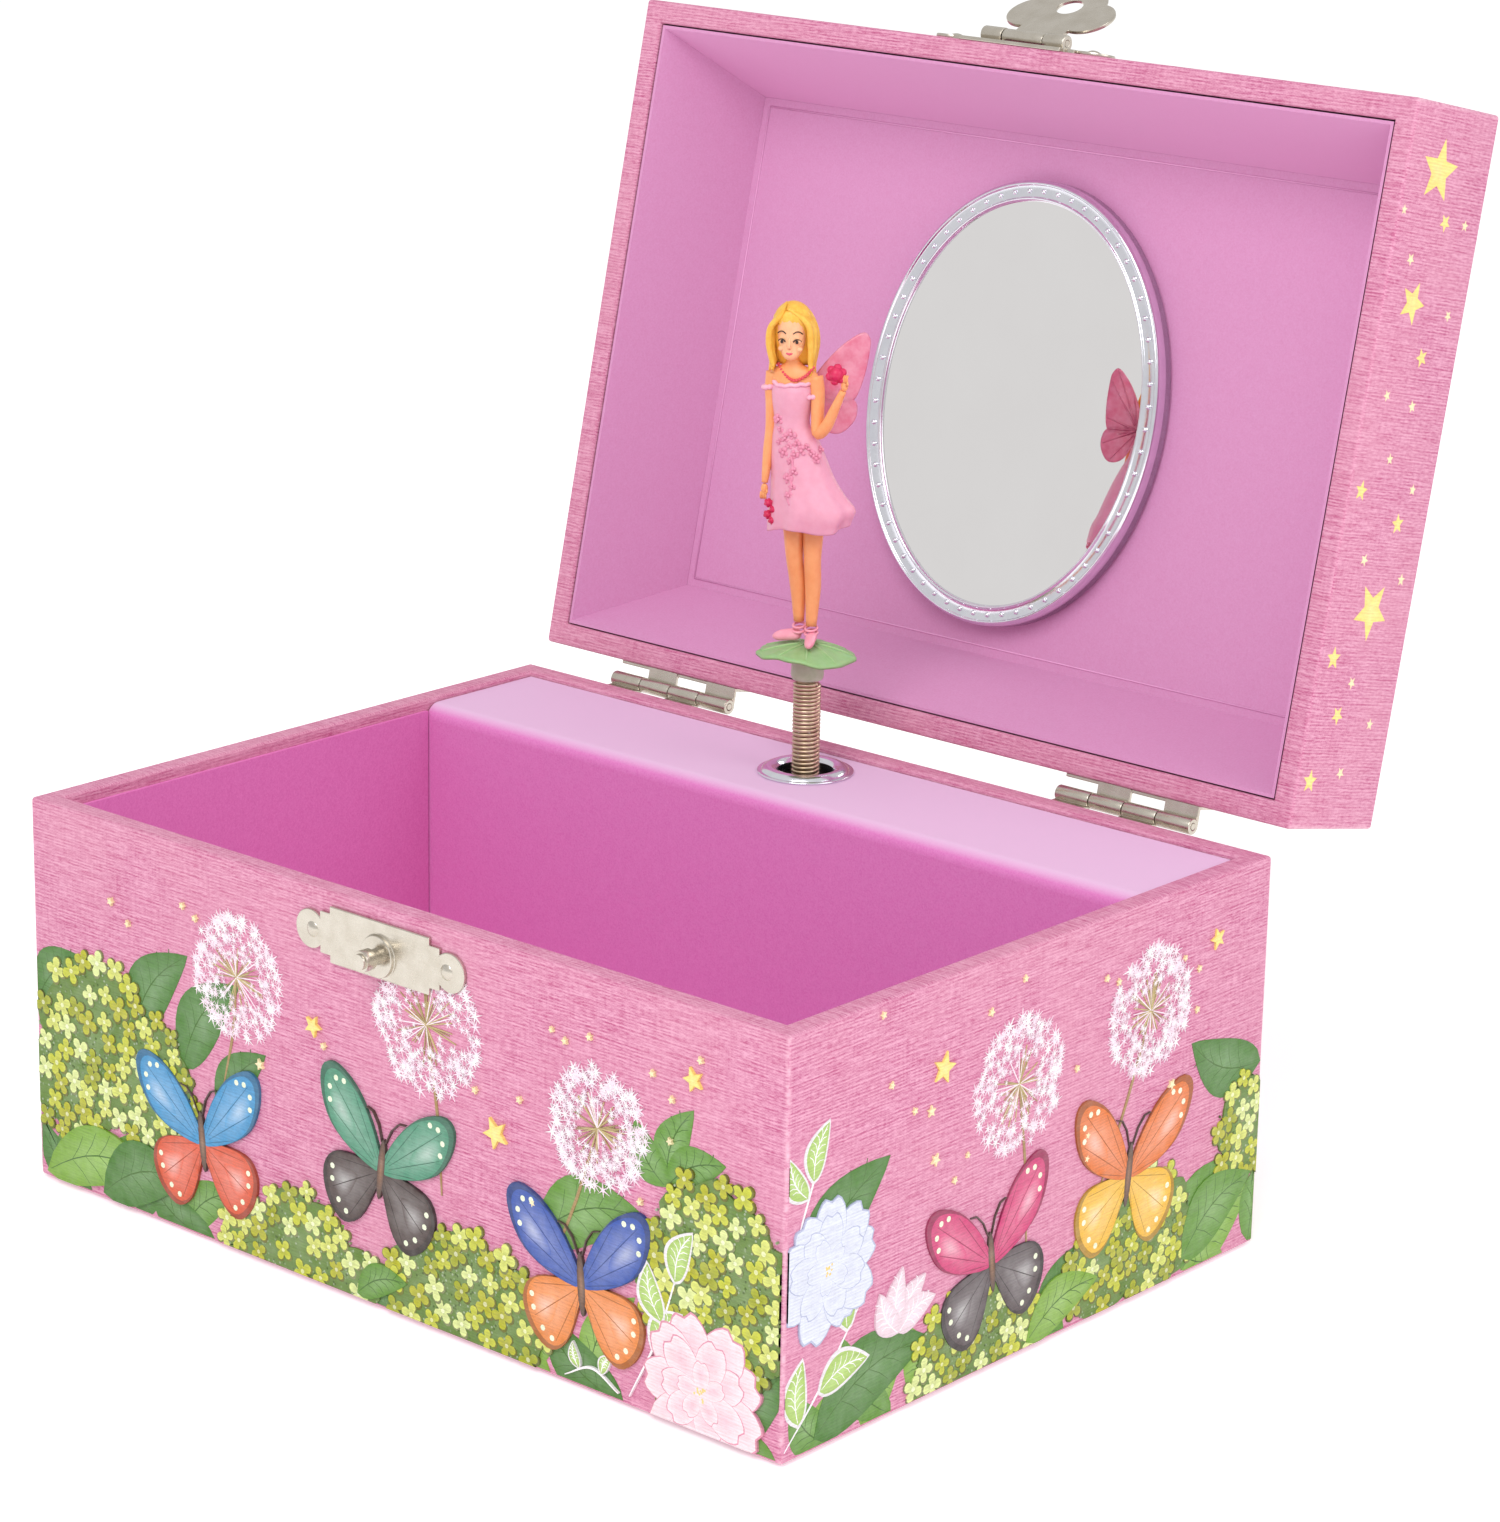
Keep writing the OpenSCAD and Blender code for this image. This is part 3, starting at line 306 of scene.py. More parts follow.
WEFT_PITCH = 0.47
WARP_PITCH = 0.52


def linen(paint, on_lid):
    """Linen emboss: returns its height and its light and dark threads, both 0 to 1."""
    (x, y, z), _ = paint.spot()
    (nx, ny, nz), _ = paint.spot("Normal")
    side = paint.calc("GREATER_THAN", paint.calc("ABSOLUTE", nx), 0.7)
    top = paint.calc("GREATER_THAN", paint.calc("ABSOLUTE", nz), 0.7)

    def choose(test, yes, no):
        return paint.add("ShaderNodeMix", {0: test, 2: no, 3: yes})

    if on_lid:
        along = choose(side, z, x)
        over = choose(side, y, choose(top, y, z))
    else:
        along = choose(side, y, x)
        over = choose(top, y, z)

    def threads(stretch_along, stretch_over, detail):
        vector = paint.add("ShaderNodeCombineXYZ", {
            0: paint.times(along, stretch_along),
            1: paint.times(over, stretch_over),
            2: paint.times(side, 31.0)})
        return paint.noise(vector, 1.0, detail)

    slubs = threads(0.17, 3.1, 3.0)
    dashes = threads(1.0, 4.2, 2.0)
    warp = threads(2.7, 0.22, 2.0)
    weft_wave = paint.calc("SINE", paint.times(over, tau / WEFT_PITCH))
    warp_wave = paint.calc("SINE", paint.times(along, tau / WARP_PITCH))
    cross = paint.times(weft_wave, warp_wave)
    height = paint.blend_of((dashes, 0.9), (slubs, 0.7), (weft_wave, 0.10), (cross, 0.08))
    shade = paint.blend_of((slubs, 0.45), (dashes, 0.40), (warp, 0.13), (weft_wave, 0.03), (cross, 0.022))
    return height, paint.ramp(shade, 0.355, 0.59)


def wrap_material(name, on_lid):
    paint = Paint(name, Roughness=0.62, Specular_IOR_Level=0.35)
    height, light = linen(paint, on_lid)
    _, spot = paint.spot()
    colour = paint.mix(light, rgb(180, 80, 124), rgb(222, 160, 186))
    clouds = paint.noise(spot, 0.06, 2.0)
    colour = paint.mix(paint.times(paint.ramp(clouds, 0.35, 0.75), 0.35), colour, rgb(218, 156, 176))
    (x, y, z), _ = paint.spot()
    # Paler in patches along the box's upright corners.
    edge_x = paint.ramp(paint.calc("ABSOLUTE", x), SIDE - 0.75, SIDE - 0.1)
    edge_y = paint.ramp(paint.calc("ABSOLUTE", y), BACK - 0.75, BACK - 0.1)
    corner_patches = paint.noise(spot, 0.9, 3.0)
    pale_corners = paint.times(paint.times(edge_x, edge_y), paint.ramp(corner_patches, 0.35, 0.7))
    colour = paint.mix(pale_corners, colour, rgb(236, 190, 206))
    paint.set("Base Color", colour)
    paint.bump(height, 0.07, 0.8)
    return paint.material


def print_material(name, on_lid):
    """Ink on the linen paper: the colour is stored on the printed shapes."""
    paint = Paint(name, Roughness=0.5, Specular_IOR_Level=0.4)
    height, light = linen(paint, on_lid)
    ink = paint.add("ShaderNodeVertexColor", layer_name="ink")
    colour = paint.mix(0.45, ink, paint.mix(light, (0.45, 0.45, 0.45, 1), (1, 1, 1, 1)), "MULTIPLY")
    _, spot = paint.spot()
    wash = paint.ramp(paint.noise(spot, 0.5, 3.0), 0.3, 0.8)
    colour = paint.mix(paint.times(wash, 0.07), colour, (1, 1, 1, 1))
    paint.set("Base Color", colour)
    paint.bump(height, 0.07, 0.55)
    return paint.material


def lining_material(name, colour, fleck, painted_light_on_top=None, painted_light_on_under=None):
    """Fine-grained matt lining paper; faces that look up or down may be mixed towards a paler colour, which
    is painted light.
    """
    paint = Paint(name, Roughness=0.78, Specular_IOR_Level=0.25)
    _, spot = paint.spot()
    grain = paint.noise(spot, 3.2, 4.0, 0.7)
    fibre = paint.noise(spot, 0.55, 5.0, 0.75)
    tone = paint.mix(paint.ramp(grain, 0.35, 0.7), colour, fleck)
    tone = paint.mix(paint.times(paint.ramp(fibre, 0.45, 0.75), 0.35), tone, fleck)
    # Painted light: upward and downward faces are mixed towards their own paler colour, chosen by the
    # direction of the normal.
    for other, start, end in ((painted_light_on_top, 0.5, 0.98), (painted_light_on_under, -0.5, -0.95)):
        if other:
            (_, _, up), _ = paint.spot("Normal")
            tone = paint.mix(paint.ramp(up, start, end), tone, other)
    paint.set("Base Color", tone)
    paint.set("Roughness", paint.plus(paint.times(grain, 0.15), 0.70))
    paint.bump(paint.plus(grain, paint.times(fibre, 0.6)), 0.05, 0.55)
    return paint.material


def board_material():
    paint = Paint("fibreboard", Roughness=0.85)
    _, spot = paint.spot()
    grain = paint.noise(spot, 1.4, 6.0, 0.7)
    paint.set("Base Color", paint.mix(paint.ramp(grain, 0.3, 0.7), rgb(150, 118, 82), rgb(196, 164, 122)))
    paint.bump(grain, 0.1, 0.6)
    return paint.material


def metal_material(name, colour, worn_colour, roughness, streak=(1, 1, 1)):
    """Metal with fine rubbing marks and a cloudy tone."""
    paint = Paint(name, Metallic=1.0)
    _, spot = paint.spot()
    stretched = paint.add("ShaderNodeVectorMath", {0: spot, 1: streak}, operation="MULTIPLY")
    marks = paint.noise(stretched, 2.4, 5.0, 0.7)
    cloud = paint.noise(spot, 0.35, 3.0)
    paint.set("Base Color", paint.mix(paint.ramp(cloud, 0.35, 0.75), colour, worn_colour))
    rough = paint.times(paint.ramp(marks, 0.3, 0.8), 0.16)
    paint.set("Roughness", paint.plus(rough, roughness))
    paint.bump(marks, 0.006, 0.4)
    return paint.material


def paint_material(name, colour, shade, roughness=0.42, translucent=False):
    """Hand-painted cast resin or plastic, a little uneven."""
    paint = Paint(name, Specular_IOR_Level=0.45, Subsurface_Weight=0.12 if translucent else 0.0)
    paint.shader.inputs["Subsurface Scale"].default_value = 1.2 * MM
    _, spot = paint.spot()
    cloud = paint.noise(spot, 0.8, 4.0, 0.6)
    fine = paint.noise(spot, 6.0, 2.0)
    paint.set("Base Color", paint.mix(paint.ramp(cloud, 0.35, 0.7), colour, shade))
    paint.set("Roughness", paint.plus(paint.times(fine, 0.2), roughness - 0.1))
    paint.bump(fine, 0.02, 0.4)
    return paint.material


def wing_material():
    paint = Paint("wing_film", Roughness=0.25, Transmission_Weight=0.35, IOR=1.45)
    _, spot = paint.spot()
    cloud = paint.noise(spot, 0.6, 3.0)
    paint.set("Base Color", paint.mix(paint.ramp(cloud, 0.3, 0.75), rgb(238, 128, 160), rgb(250, 176, 198)))
    paint.bump(paint.noise(spot, 2.0, 2.0), 0.03, 0.4)
    return paint.material


def mirror_material():
    paint = Paint("silvered_glass", Metallic=1.0)
    _, spot = paint.spot()
    haze = paint.noise(spot, 0.08, 4.0)
    paint.set("Base Color", paint.mix(haze, rgb(242, 239, 238), rgb(247, 245, 244)))
    paint.set("Roughness", paint.times(paint.ramp(haze, 0.3, 0.9), 0.03))
    return paint.material


WRAP_BASE = wrap_material("linen_paper_base", False)
WRAP_LID = wrap_material("linen_paper_lid", True)
INK_BASE = print_material("ink_base", False)
INK_LID = print_material("ink_lid", True)
# The compartment's lining is a slightly darker copy of the cover's lining colour: painted shade inside the
# compartment.
LINING = lining_material("lining_paper", rgb(216, 116, 182), rgb(228, 136, 198))
# The cover's lining: its upward faces are painted paler, as painted light on its top.
TOP_LIT_LINING = lining_material(
    "lining_paper_painted_top_light", rgb(220, 124, 192), rgb(230, 146, 206), painted_light_on_top=rgb(224, 186, 218))
# The lid's lining: its downward faces are painted paler, as painted light on the faces that look down inside
# the open lid.
UNDER_LIT_LID_LINING = lining_material(
    "lid_lining_paper_painted_under_light", rgb(206, 140, 182), rgb(212, 153, 194), painted_light_on_under=rgb(232, 172, 213))
BOARD = board_material()
UNDERSIDE = lining_material("underside_paper", rgb(206, 160, 176), rgb(222, 184, 196))
NICKEL = metal_material("nickel", rgb(208, 201, 189), rgb(194, 186, 172), 0.22, (0.15, 1, 1))
PLATE = metal_material("nickel_plate", rgb(214, 208, 196), rgb(196, 188, 174), 0.26, (0.12, 1, 1))
CHROME = metal_material("chrome", rgb(232, 232, 238), rgb(222, 222, 230), 0.1)
WIRE = metal_material("spring_wire", rgb(214, 194, 168), rgb(190, 166, 138), 0.32)
STEEL = metal_material("steel", rgb(188, 190, 194), rgb(164, 166, 170), 0.28, (1, 1, 0.2))
BRASS = metal_material("brass", rgb(214, 178, 104), rgb(184, 146, 76), 0.24)
FOAM = lining_material("foam", rgb(226, 226, 216), rgb(240, 240, 232))
NYLON = paint_material("nylon", rgb(236, 236, 230), rgb(226, 226, 218), 0.35)
SKIN = paint_material("skin", rgb(244, 168, 112), rgb(240, 158, 100), 0.42, True)
SKIN_LIGHT = paint_material("face_skin", rgb(248, 190, 146), rgb(246, 180, 134), 0.42, True)
HAIR = paint_material("hair", rgb(246, 196, 84), rgb(238, 172, 56), 0.4, True)
DRESS = paint_material("dress", rgb(230, 164, 186), rgb(226, 156, 178), 0.4, True)
RELIEF = paint_material("dress_flowers", rgb(224, 138, 166), rgb(228, 150, 176), 0.4)
STRAP = paint_material("strap", rgb(248, 186, 206), rgb(242, 168, 192), 0.4)
SHOE = paint_material("shoe", rgb(246, 166, 184), rgb(240, 150, 172), 0.36)
ROSE = paint_material("rose", rgb(214, 40, 92), rgb(196, 26, 74), 0.4)
BEADS = paint_material("beads", rgb(228, 88, 96), rgb(214, 66, 84), 0.36)
DARK = paint_material("brow_paint", rgb(52, 34, 30), rgb(40, 26, 24), 0.4)
LIP = paint_material("lip_paint", rgb(226, 92, 110), rgb(214, 78, 100), 0.4)
LEAF = paint_material("lily_leaf", rgb(150, 190, 130), rgb(138, 182, 118), 0.42, True)
LEAF_VEIN = paint_material("leaf_veins", rgb(164, 198, 140), rgb(150, 188, 126), 0.42)
STUB = paint_material("leaf_stub", rgb(196, 204, 178), rgb(182, 194, 160), 0.38)
WINGS = wing_material()
GLASS = mirror_material()

# ---------- Paper wraps ----------


def arc(centre_in, centre_z, radius, start, end, steps=5):
    """Points of an arc in a wall's section; angles in degrees, 0 inwards and 90 up."""
    made = []
    for i in range(steps + 1):
        a = radians(start + (end - start) * i / steps)
        made.append((centre_in + radius * cos(a), centre_z + radius * sin(a)))
    return made


def wall_ring(inset, z, corner, steps=5):
    """Rounded rectangle at an inset from the outer faces."""
    x, y = SIDE - inset, BACK - inset
    r = max(corner - inset, 0.12)
    ring = []
    for k, (sx, sy) in enumerate(((1, 1), (-1, 1), (-1, -1), (1, -1))):
        for i in range(steps + 1):
            a = radians(90 * (k + i / steps))
            ring.append(Vector((sx * (x - r) + r * cos(a), sy * (y - r) + r * sin(a), z)))
    return ring


CORNER = 0.55
FOLD = 0.55


def base_paper():
    """One skin of paper: under the floor, up the walls, over the rim and down inside."""
    low, t = base_low.z, PAPER
    section = [(HEM, low)]
    section += arc(FOLD, low + FOLD, FOLD, 270, 180)
    section += arc(FOLD, RIM - FOLD, FOLD, 180, 90)
    section += arc(WALL - FOLD, RIM - FOLD, FOLD, 90, 0)
    section += [(WALL, RIM - TURN_IN), (WALL - t, RIM - TURN_IN)]
    section += [(WALL - t, RIM - t - 0.3), (t + 0.3, RIM - t), (t, RIM - t - 0.3)]
    section += [(t, low + t + 0.3), (t + 0.3, low + t), (HEM, low + t)]
    bm = bmesh.new()
    add_rings(bm, [wall_ring(inset, z, CORNER) for inset, z in section], loop=True)
    mesh = finish_mesh(bm, "base_paper", WRAP_BASE)
    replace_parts(place("base_paper", mesh, "base"), "base_wrap")


def lid_paper():
    """The lid's skin: inside the rim, over the walls and right across the top."""
    low, top, t = lid_low.z, lid_high.z, PAPER
    section = [(WALL - t, low + TURN_IN), (WALL, low + TURN_IN)]
    section += arc(WALL - FOLD, low + FOLD, FOLD, 360, 270)
    section += arc(FOLD, low + FOLD, FOLD, 270, 180)
    section += arc(FOLD, top - FOLD, FOLD, 180, 90)
    outside = [wall_ring(inset, z, CORNER) for inset, z in section]
    back = [(t + 0.3, top - t), (t, top - t - 0.3), (t, low + t + 0.3), (t + 0.3, low + t)]
    back += [(WALL - t, low + t + 0.3)]
    inside = [wall_ring(inset, z, CORNER) for inset, z in back]
    bm = bmesh.new()
    add_lid_skin(bm, outside, inside)
    mesh = finish_mesh(bm, "lid_paper", WRAP_LID)
    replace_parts(place("lid_paper", mesh, "lid", shut=True), "lid_wrap")


def add_lid_skin(bm, outside, inside):
    """Rings from the inside of the rim to the top, capped; then the under skin, capped and joined."""
    rings = [[bm.verts.new(p) for p in ring] for ring in outside + inside]
    count = len(rings[0])
    for a in range(len(rings)):
        if a == len(outside) - 1:
            continue
        low, high = rings[a], rings[(a + 1) % len(rings)]
        for i in range(count):
            j = (i + 1) % count
            bm.faces.new((low[i], low[j], high[j], high[i]))
    bm.faces.new(rings[len(outside) - 1])
    bm.faces.new(list(reversed(rings[len(outside)])))


# ---------- Printed picture ----------
# Each printed shape is a thin closed slab on a face, and later shapes lie on earlier ones

PINK_WHITE = rgb(252, 232, 242)
WHITE = rgb(253, 246, 250)
STAR = rgb(252, 222, 120)
PALE_STAR = rgb(248, 228, 178)
DARK_GREEN = rgb(70, 128, 26)
MID_GREEN = rgb(98, 152, 34)
LIGHT_GREEN = rgb(132, 178, 48)
PALE_GREEN = rgb(180, 214, 106)
DARK_VEIN = rgb(62, 104, 20)
BLUE, ROYAL, TEAL = rgb(56, 150, 206), rgb(46, 84, 176), rgb(74, 150, 118)
MAGENTA, ORANGE, YELLOW = rgb(214, 48, 118), rgb(232, 118, 34), rgb(248, 190, 44)
RED, AMBER, SMOKE = rgb(226, 84, 40), rgb(238, 138, 56), rgb(86, 72, 76)
WING_DOT = rgb(236, 244, 214)
DARK_BROWN = rgb(74, 50, 42)
BLOSSOM_EDGE, BLOSSOM_HEART = rgb(248, 224, 230), rgb(232, 150, 176)
LAYER = 0.0001
FIRST_LAYER = 0.012


def tint(colour, amount):
    """Lighter for a positive amount, darker for a negative one."""
    if amount >= 0:
        return tuple(c + (1 - c) * amount for c in colour[:3]) + (1.0,)
    return tuple(c * (1 + amount) for c in colour[:3]) + (1.0,)


class Picture:
    """Printed shapes on one face: place turns (u, v, height) into a point, and limits hold the face."""

    def __init__(self, name, place_point, limits, material, body, shut=False):
        self.name, self.place_point, self.limits = name, place_point, limits
        self.material, self.body, self.shut = material, body, shut
        self.points, self.faces, self.colours = [], [], []
        self.height = FIRST_LAYER

    def shape(self, outline, edge, middle=None):
        """Closed outline filled from its middle, which may have its own colour; it covers earlier shapes."""
        self.height += LAYER
        u0, u1, v0, v1 = self.limits
        kept = [(min(max(u, u0), u1), min(max(v, v0), v1)) for u, v in outline]
        clean = [p for i, p in enumerate(kept) if dist(p, kept[i - 1]) > 0.004]
        if len(clean) < 3:
            return
        area = sum(a[0] * b[1] - b[0] * a[1] for a, b in zip(clean, clean[1:] + clean[:1])) / 2
        if abs(area) < 0.004:
            return
        start, count = len(self.points), len(clean)
        centre = (sum(p[0] for p in clean) / count, sum(p[1] for p in clean) / count)
        for height in (self.height, 0.0):
            for u, v in [*clean, centre]:
                self.points.append(self.place_point(u, v, height))
        self.colours += ([edge] * count + [middle or edge]) * 2
        under = start + count + 1
        for i in range(count):
            j = (i + 1) % count
            self.faces.append((start + i, start + j, start + count))
            self.faces.append((under + j, under + i, under + count))
            self.faces.append((start + i, under + i, under + j, start + j))

    def line(self, points, width, colour):
        """A ribbon that narrows at both ends."""
        left, right = [], []
        for i, (u, v) in enumerate(points):
            a, b = points[max(i - 1, 0)], points[min(i + 1, len(points) - 1)]
            length = dist(a, b) or 1
            nu, nv = (a[1] - b[1]) / length, (b[0] - a[0]) / length
            half = width / 2 * (0.35 + 0.65 * sin(pi * (i + 0.5) / len(points)))
            left.append((u + nu * half, v + nv * half))
            right.append((u - nu * half, v - nv * half))
        for i in range(len(points) - 1):
            self.shape([left[i], left[i + 1], right[i + 1], right[i]], colour)

    def build(self):
        if not self.faces:
            return
        mesh = bpy.data.meshes.new(self.name)
        mesh.from_pydata([Vector(p) * MM for p in self.points], [], self.faces)
        ink = mesh.color_attributes.new("ink", "FLOAT_COLOR", "POINT")
        for i, colour in enumerate(self.colours):
            ink.data[i].color = colour
        mesh.materials.append(self.material)
        mesh.update()
        bm = bmesh.new()
        bm.from_mesh(mesh)
        bmesh.ops.recalc_face_normals(bm, faces=bm.faces)
        bm.to_mesh(mesh)
        bm.free()
        place(self.name, mesh, self.body, self.shut)


def turned(points, u, v, turn, size=1.0):
    c, s = cos(turn) * size, sin(turn) * size
    return [(u + p[0] * c - p[1] * s, v + p[0] * s + p[1] * c) for p in points]


def star(picture, u, v, r, turn=0.3, colour=STAR):
    points = []
    for k in range(10):
        a = tau * k / 10 + pi / 2
        reach = r if k % 2 == 0 else r * 0.44
        points.append((reach * cos(a), reach * sin(a)))
    picture.shape(turned(points, u, v, turn), colour, tint(colour, 0.12))


def leaf(picture, u, v, length, width, turn, colour, vein=DARK_VEIN, bend=0.12, steps=12):
    """Pointed leaf from its stalk at (u, v), with a midrib and side veins."""
    def spine(t):
        return t * length, bend * length * sin(pi * t)

    def half(t):
        return width / 2 * sin(pi * t ** 0.8) ** 0.85

    upper = [(spine(i / steps)[0], spine(i / steps)[1] + half(i / steps)) for i in range(steps + 1)]
    lower = [(spine(i / steps)[0], spine(i / steps)[1] - half(i / steps)) for i in range(steps, -1, -1)]
    picture.shape(turned(upper + lower, u, v, turn), tint(colour, -0.18), tint(colour, 0.10))
    if vein:
        rib = [spine(0.04 + 0.9 * i / 8) for i in range(9)]
        picture.line(turned(rib, u, v, turn), 0.22, vein)
        for k in range(2, 7):
            t = k / 8
            x, y = spine(t)
            for way in (1, -1):
                tip = (x + length * 0.13, y + way * half(min(t + 0.1, 1)) * 0.8)
                middle = ((x + tip[0]) / 2 + 0.3, (y + tip[1]) / 2)
                picture.line(turned([(x, y), middle, tip], u, v, turn), 0.13, vein)


def floret(picture, u, v, r, turn, colour):
    """Four-petalled floret with a darker rim under it."""
    def outline(size):
        points = []
        for k in range(24):
            a = tau * k / 24
            reach = size * (0.36 + 0.64 * abs(cos(2 * a)) ** 0.7)
            points.append((reach * cos(a), reach * sin(a)))
        return points
    picture.shape(turned(outline(r * 1.12), u + 0.12, v - 0.14, turn), tint(colour, -0.72))
    picture.shape(turned(outline(r), u, v, turn), colour, tint(colour, -0.3))
    picture.shape(turned(circle(6, 0.2 * r), u, v, turn), tint(colour, 0.35))


def hydrangea(picture, lobes, seed, spacing=2.9):
    """Flower head made of round lobes (u, v, radius), covered in florets."""
    dice = random.Random(seed)
    bed = rgb(96, 130, 34)
    for u, v, r in lobes:
        outline = []
        for k in range(36):
            a = tau * k / 36
            reach = r * (0.94 + 0.06 * sin(7 * a + seed) + 0.03 * sin(13 * a))
            outline.append((u + reach * cos(a), v + reach * sin(a)))
        picture.shape(outline, tint(bed, -0.1), tint(bed, 0.06))
    u0, u1, v0, v1 = picture.limits

    def inside(u, v):
        return any(dist((u, v), (a, b)) < r * 1.02 for a, b, r in lobes)

    for _ in range(int(sum(r * r for _, _, r in lobes) * 1.8)):
        a, b, r = dice.choice(lobes)
        angle, reach = dice.uniform(0, tau), r * sqrt(dice.random())
        u, v = a + reach * cos(angle), b + reach * sin(angle)
        if u0 < u < u1 and v0 < v < v1:
            picture.shape(turned(circle(5, 0.2), u, v, angle), tint(bed, dice.choice((0.25, 0.12, -0.45))))
    placed = []
    for _ in range(1400):
        a, b, r = dice.choice(lobes)
        angle, reach = dice.uniform(0, tau), r * sqrt(dice.random()) * 1.03
        u, v = a + reach * cos(angle), b + reach * sin(angle)
        inner = u0 + 0.6 < u < u1 - 0.6 and v0 + 0.5 < v < v1 - 0.5
        if inner and inside(u, v) and all(dist((u, v), p) > spacing for p in placed):
            placed.append((u, v))
    shades = (rgb(186, 186, 22), rgb(202, 206, 52), rgb(220, 226, 112), rgb(228, 238, 156), rgb(168, 174, 18))
    for u, v in placed:
        floret(picture, u, v, dice.uniform(1.55, 2.15), dice.uniform(0, tau), dice.choice(shades))


def seed_head(picture, u, v, r, seed, stem):
    """Round dandelion clock: thin stalks, then spiky tufts, thickest near the edge."""
    dice = random.Random(seed)
    stalk = rgb(170, 146, 96)
    middle = ((u + stem[0]) / 2 + 0.6, (v + stem[1]) / 2)
    picture.line(flat_curve([(u, v), middle, stem], 9), 0.5, rgb(164, 132, 82))
    for _ in range(46):
        a, reach = dice.uniform(0, tau), r * dice.uniform(0.3, 0.62)
        tip = (u + reach * cos(a), v + reach * sin(a))
        picture.line([(u, v), ((u + tip[0]) / 2, (v + tip[1]) / 2), tip], 0.17,
                     dice.choice((stalk, rgb(196, 176, 120), PINK_WHITE)))
    for _ in range(300):
        a = dice.uniform(0, tau)
        far = dice.random() ** 0.5
        reach = r * (0.2 + 0.78 * far)
        size = (0.5 + 0.75 * far) * dice.uniform(0.8, 1.25)
        rays = dice.choice((6, 7, 8))
        points = []
        for i in range(2 * rays):
            b = tau * i / (2 * rays)
            spike = size * dice.uniform(0.7, 1.1) if i % 2 == 0 else size * 0.17
            points.append((spike * cos(b), spike * sin(b)))
        colour = dice.choice((WHITE, PINK_WHITE, rgb(247, 222, 236)))
        picture.shape(turned(points, u + reach * cos(a), v + reach * sin(a), a), colour)


# Right-hand wings of a butterfly of size 1, from the root round the tip
WING_UPPER = (
    (0, 0), (0.16, 0.42), (0.46, 0.78), (0.8, 0.94), (0.98, 0.84), (0.96, 0.56), (0.78, 0.26), (0.42, 0.06))
WING_LOWER = (
    (0, 0), (0.4, 0.02), (0.72, -0.06), (0.84, -0.3), (0.74, -0.6), (0.5, -0.78), (0.26, -0.66), (0.08, -0.3))


def rounded(knots, count=28):
    """Smooth closed outline through the knots."""
    loop = [Vector((x, y, 0)) for x, y in knots]
    made = []
    for i in range(count):
        t = i / count * len(loop)
        k = int(t)
        p = between(*(loop[(k + n) % len(loop)] for n in (-1, 0, 1, 2)), t - k)
        made.append((p.x, p.y))
    return made


def butterfly(picture, u, v, size, turn, upper, lower):
    """Plain generic butterfly with two colours of wing."""
    def stamp(points, colour, middle=None, grow=1.0):
        picture.shape(turned(points, u, v, turn, size * grow), colour, middle)

    def stroke(points, width, colour):
        picture.line(turned(points, u, v, turn, size), width, colour)

    for knots, colour in ((WING_LOWER, lower), (WING_UPPER, upper)):
        for way in (1, -1):
            base = [(x * way, y) for x, y in rounded(knots)]
            stamp(base, tint(colour, -0.55), grow=1.04)
            stamp(base, tint(colour, -0.12), tint(colour, 0.16), 0.97)
            cx = sum(x for x, _ in base) / len(base)
            cy = sum(y for _, y in base) / len(base)
            inner = [(cx + (x - cx) * 0.45 + 0.1 * way, cy + (y - cy) * 0.45) for x, y in base]
            stamp(inner, tint(colour, 0.05), tint(colour, 0.4))
            for k in range(3, 26, 5):
                x, y = base[k]
                stroke([(x * t, y * t) for t in (0.12, 0.5, 0.9)], 0.16, tint(colour, -0.5))
            for k in range(4):
                x, y = base[int(len(base) * (0.36 + 0.09 * k))]
                stamp([(x * 0.88 + a, y * 0.88 + b) for a, b in circle(8, 0.035)], WING_DOT)
    stamp([(x, 0.02 + y) for x, y in circle(16, 0.055, 0.36)], DARK_BROWN, rgb(150, 110, 84))
    for way in (1, -1):
        stroke([(0.03 * way, 0.34), (0.1 * way, 0.52), (0.2 * way, 0.64), (0.3 * way, 0.66)], 0.2, DARK_BROWN)


def blossom(picture, u, v, r, seed, edge, heart, rings=((9, 1.0), (7, 0.72), (5, 0.42))):
    """Full round blossom of overlapping petals."""
    dice = random.Random(seed)
    petal = rounded(((0, 0), (0.3, 0.26), (0.72, 0.32), (1.0, 0.16), (0.95, 0.0), (1.0, -0.16), (0.72, -0.32),
                     (0.3, -0.26)), 20)
    for count, reach in rings:
        offset = dice.uniform(0, 1)
        for k in range(count):
            a = tau * (k + offset) / count + dice.uniform(-0.12, 0.12)
            size = r * reach * dice.uniform(0.86, 1.06)
            picture.shape(turned(petal, u, v, a, size * 1.03), tint(heart, -0.12))
            picture.shape(turned(petal, u, v, a, size), edge, tint(heart, 0.35))
    for _ in range(14):
        a, reach = dice.uniform(0, tau), r * 0.12 * dice.random()
        picture.shape(turned(circle(6, 0.2), u + reach * cos(a), v + reach * sin(a), a), rgb(236, 206, 120))


def sprig(picture, knots, leaves, colour, outline=WHITE):
    """White line stem with pale outlined leaves: (place on the stem 0 to 1, length, turn)."""
    stem = flat_curve(knots, 16)
    picture.line(stem, 0.34, outline)
    for where, length, turn in leaves:
        u, v = stem[int(where * 15)]
        leaf(picture, u, v, length, length * 0.52, turn, outline, None)
        inset = 0.05 * length
        leaf(picture, u + inset * cos(turn), v + inset * sin(turn), length * 0.9, length * 0.42, turn,
             colour, outline)


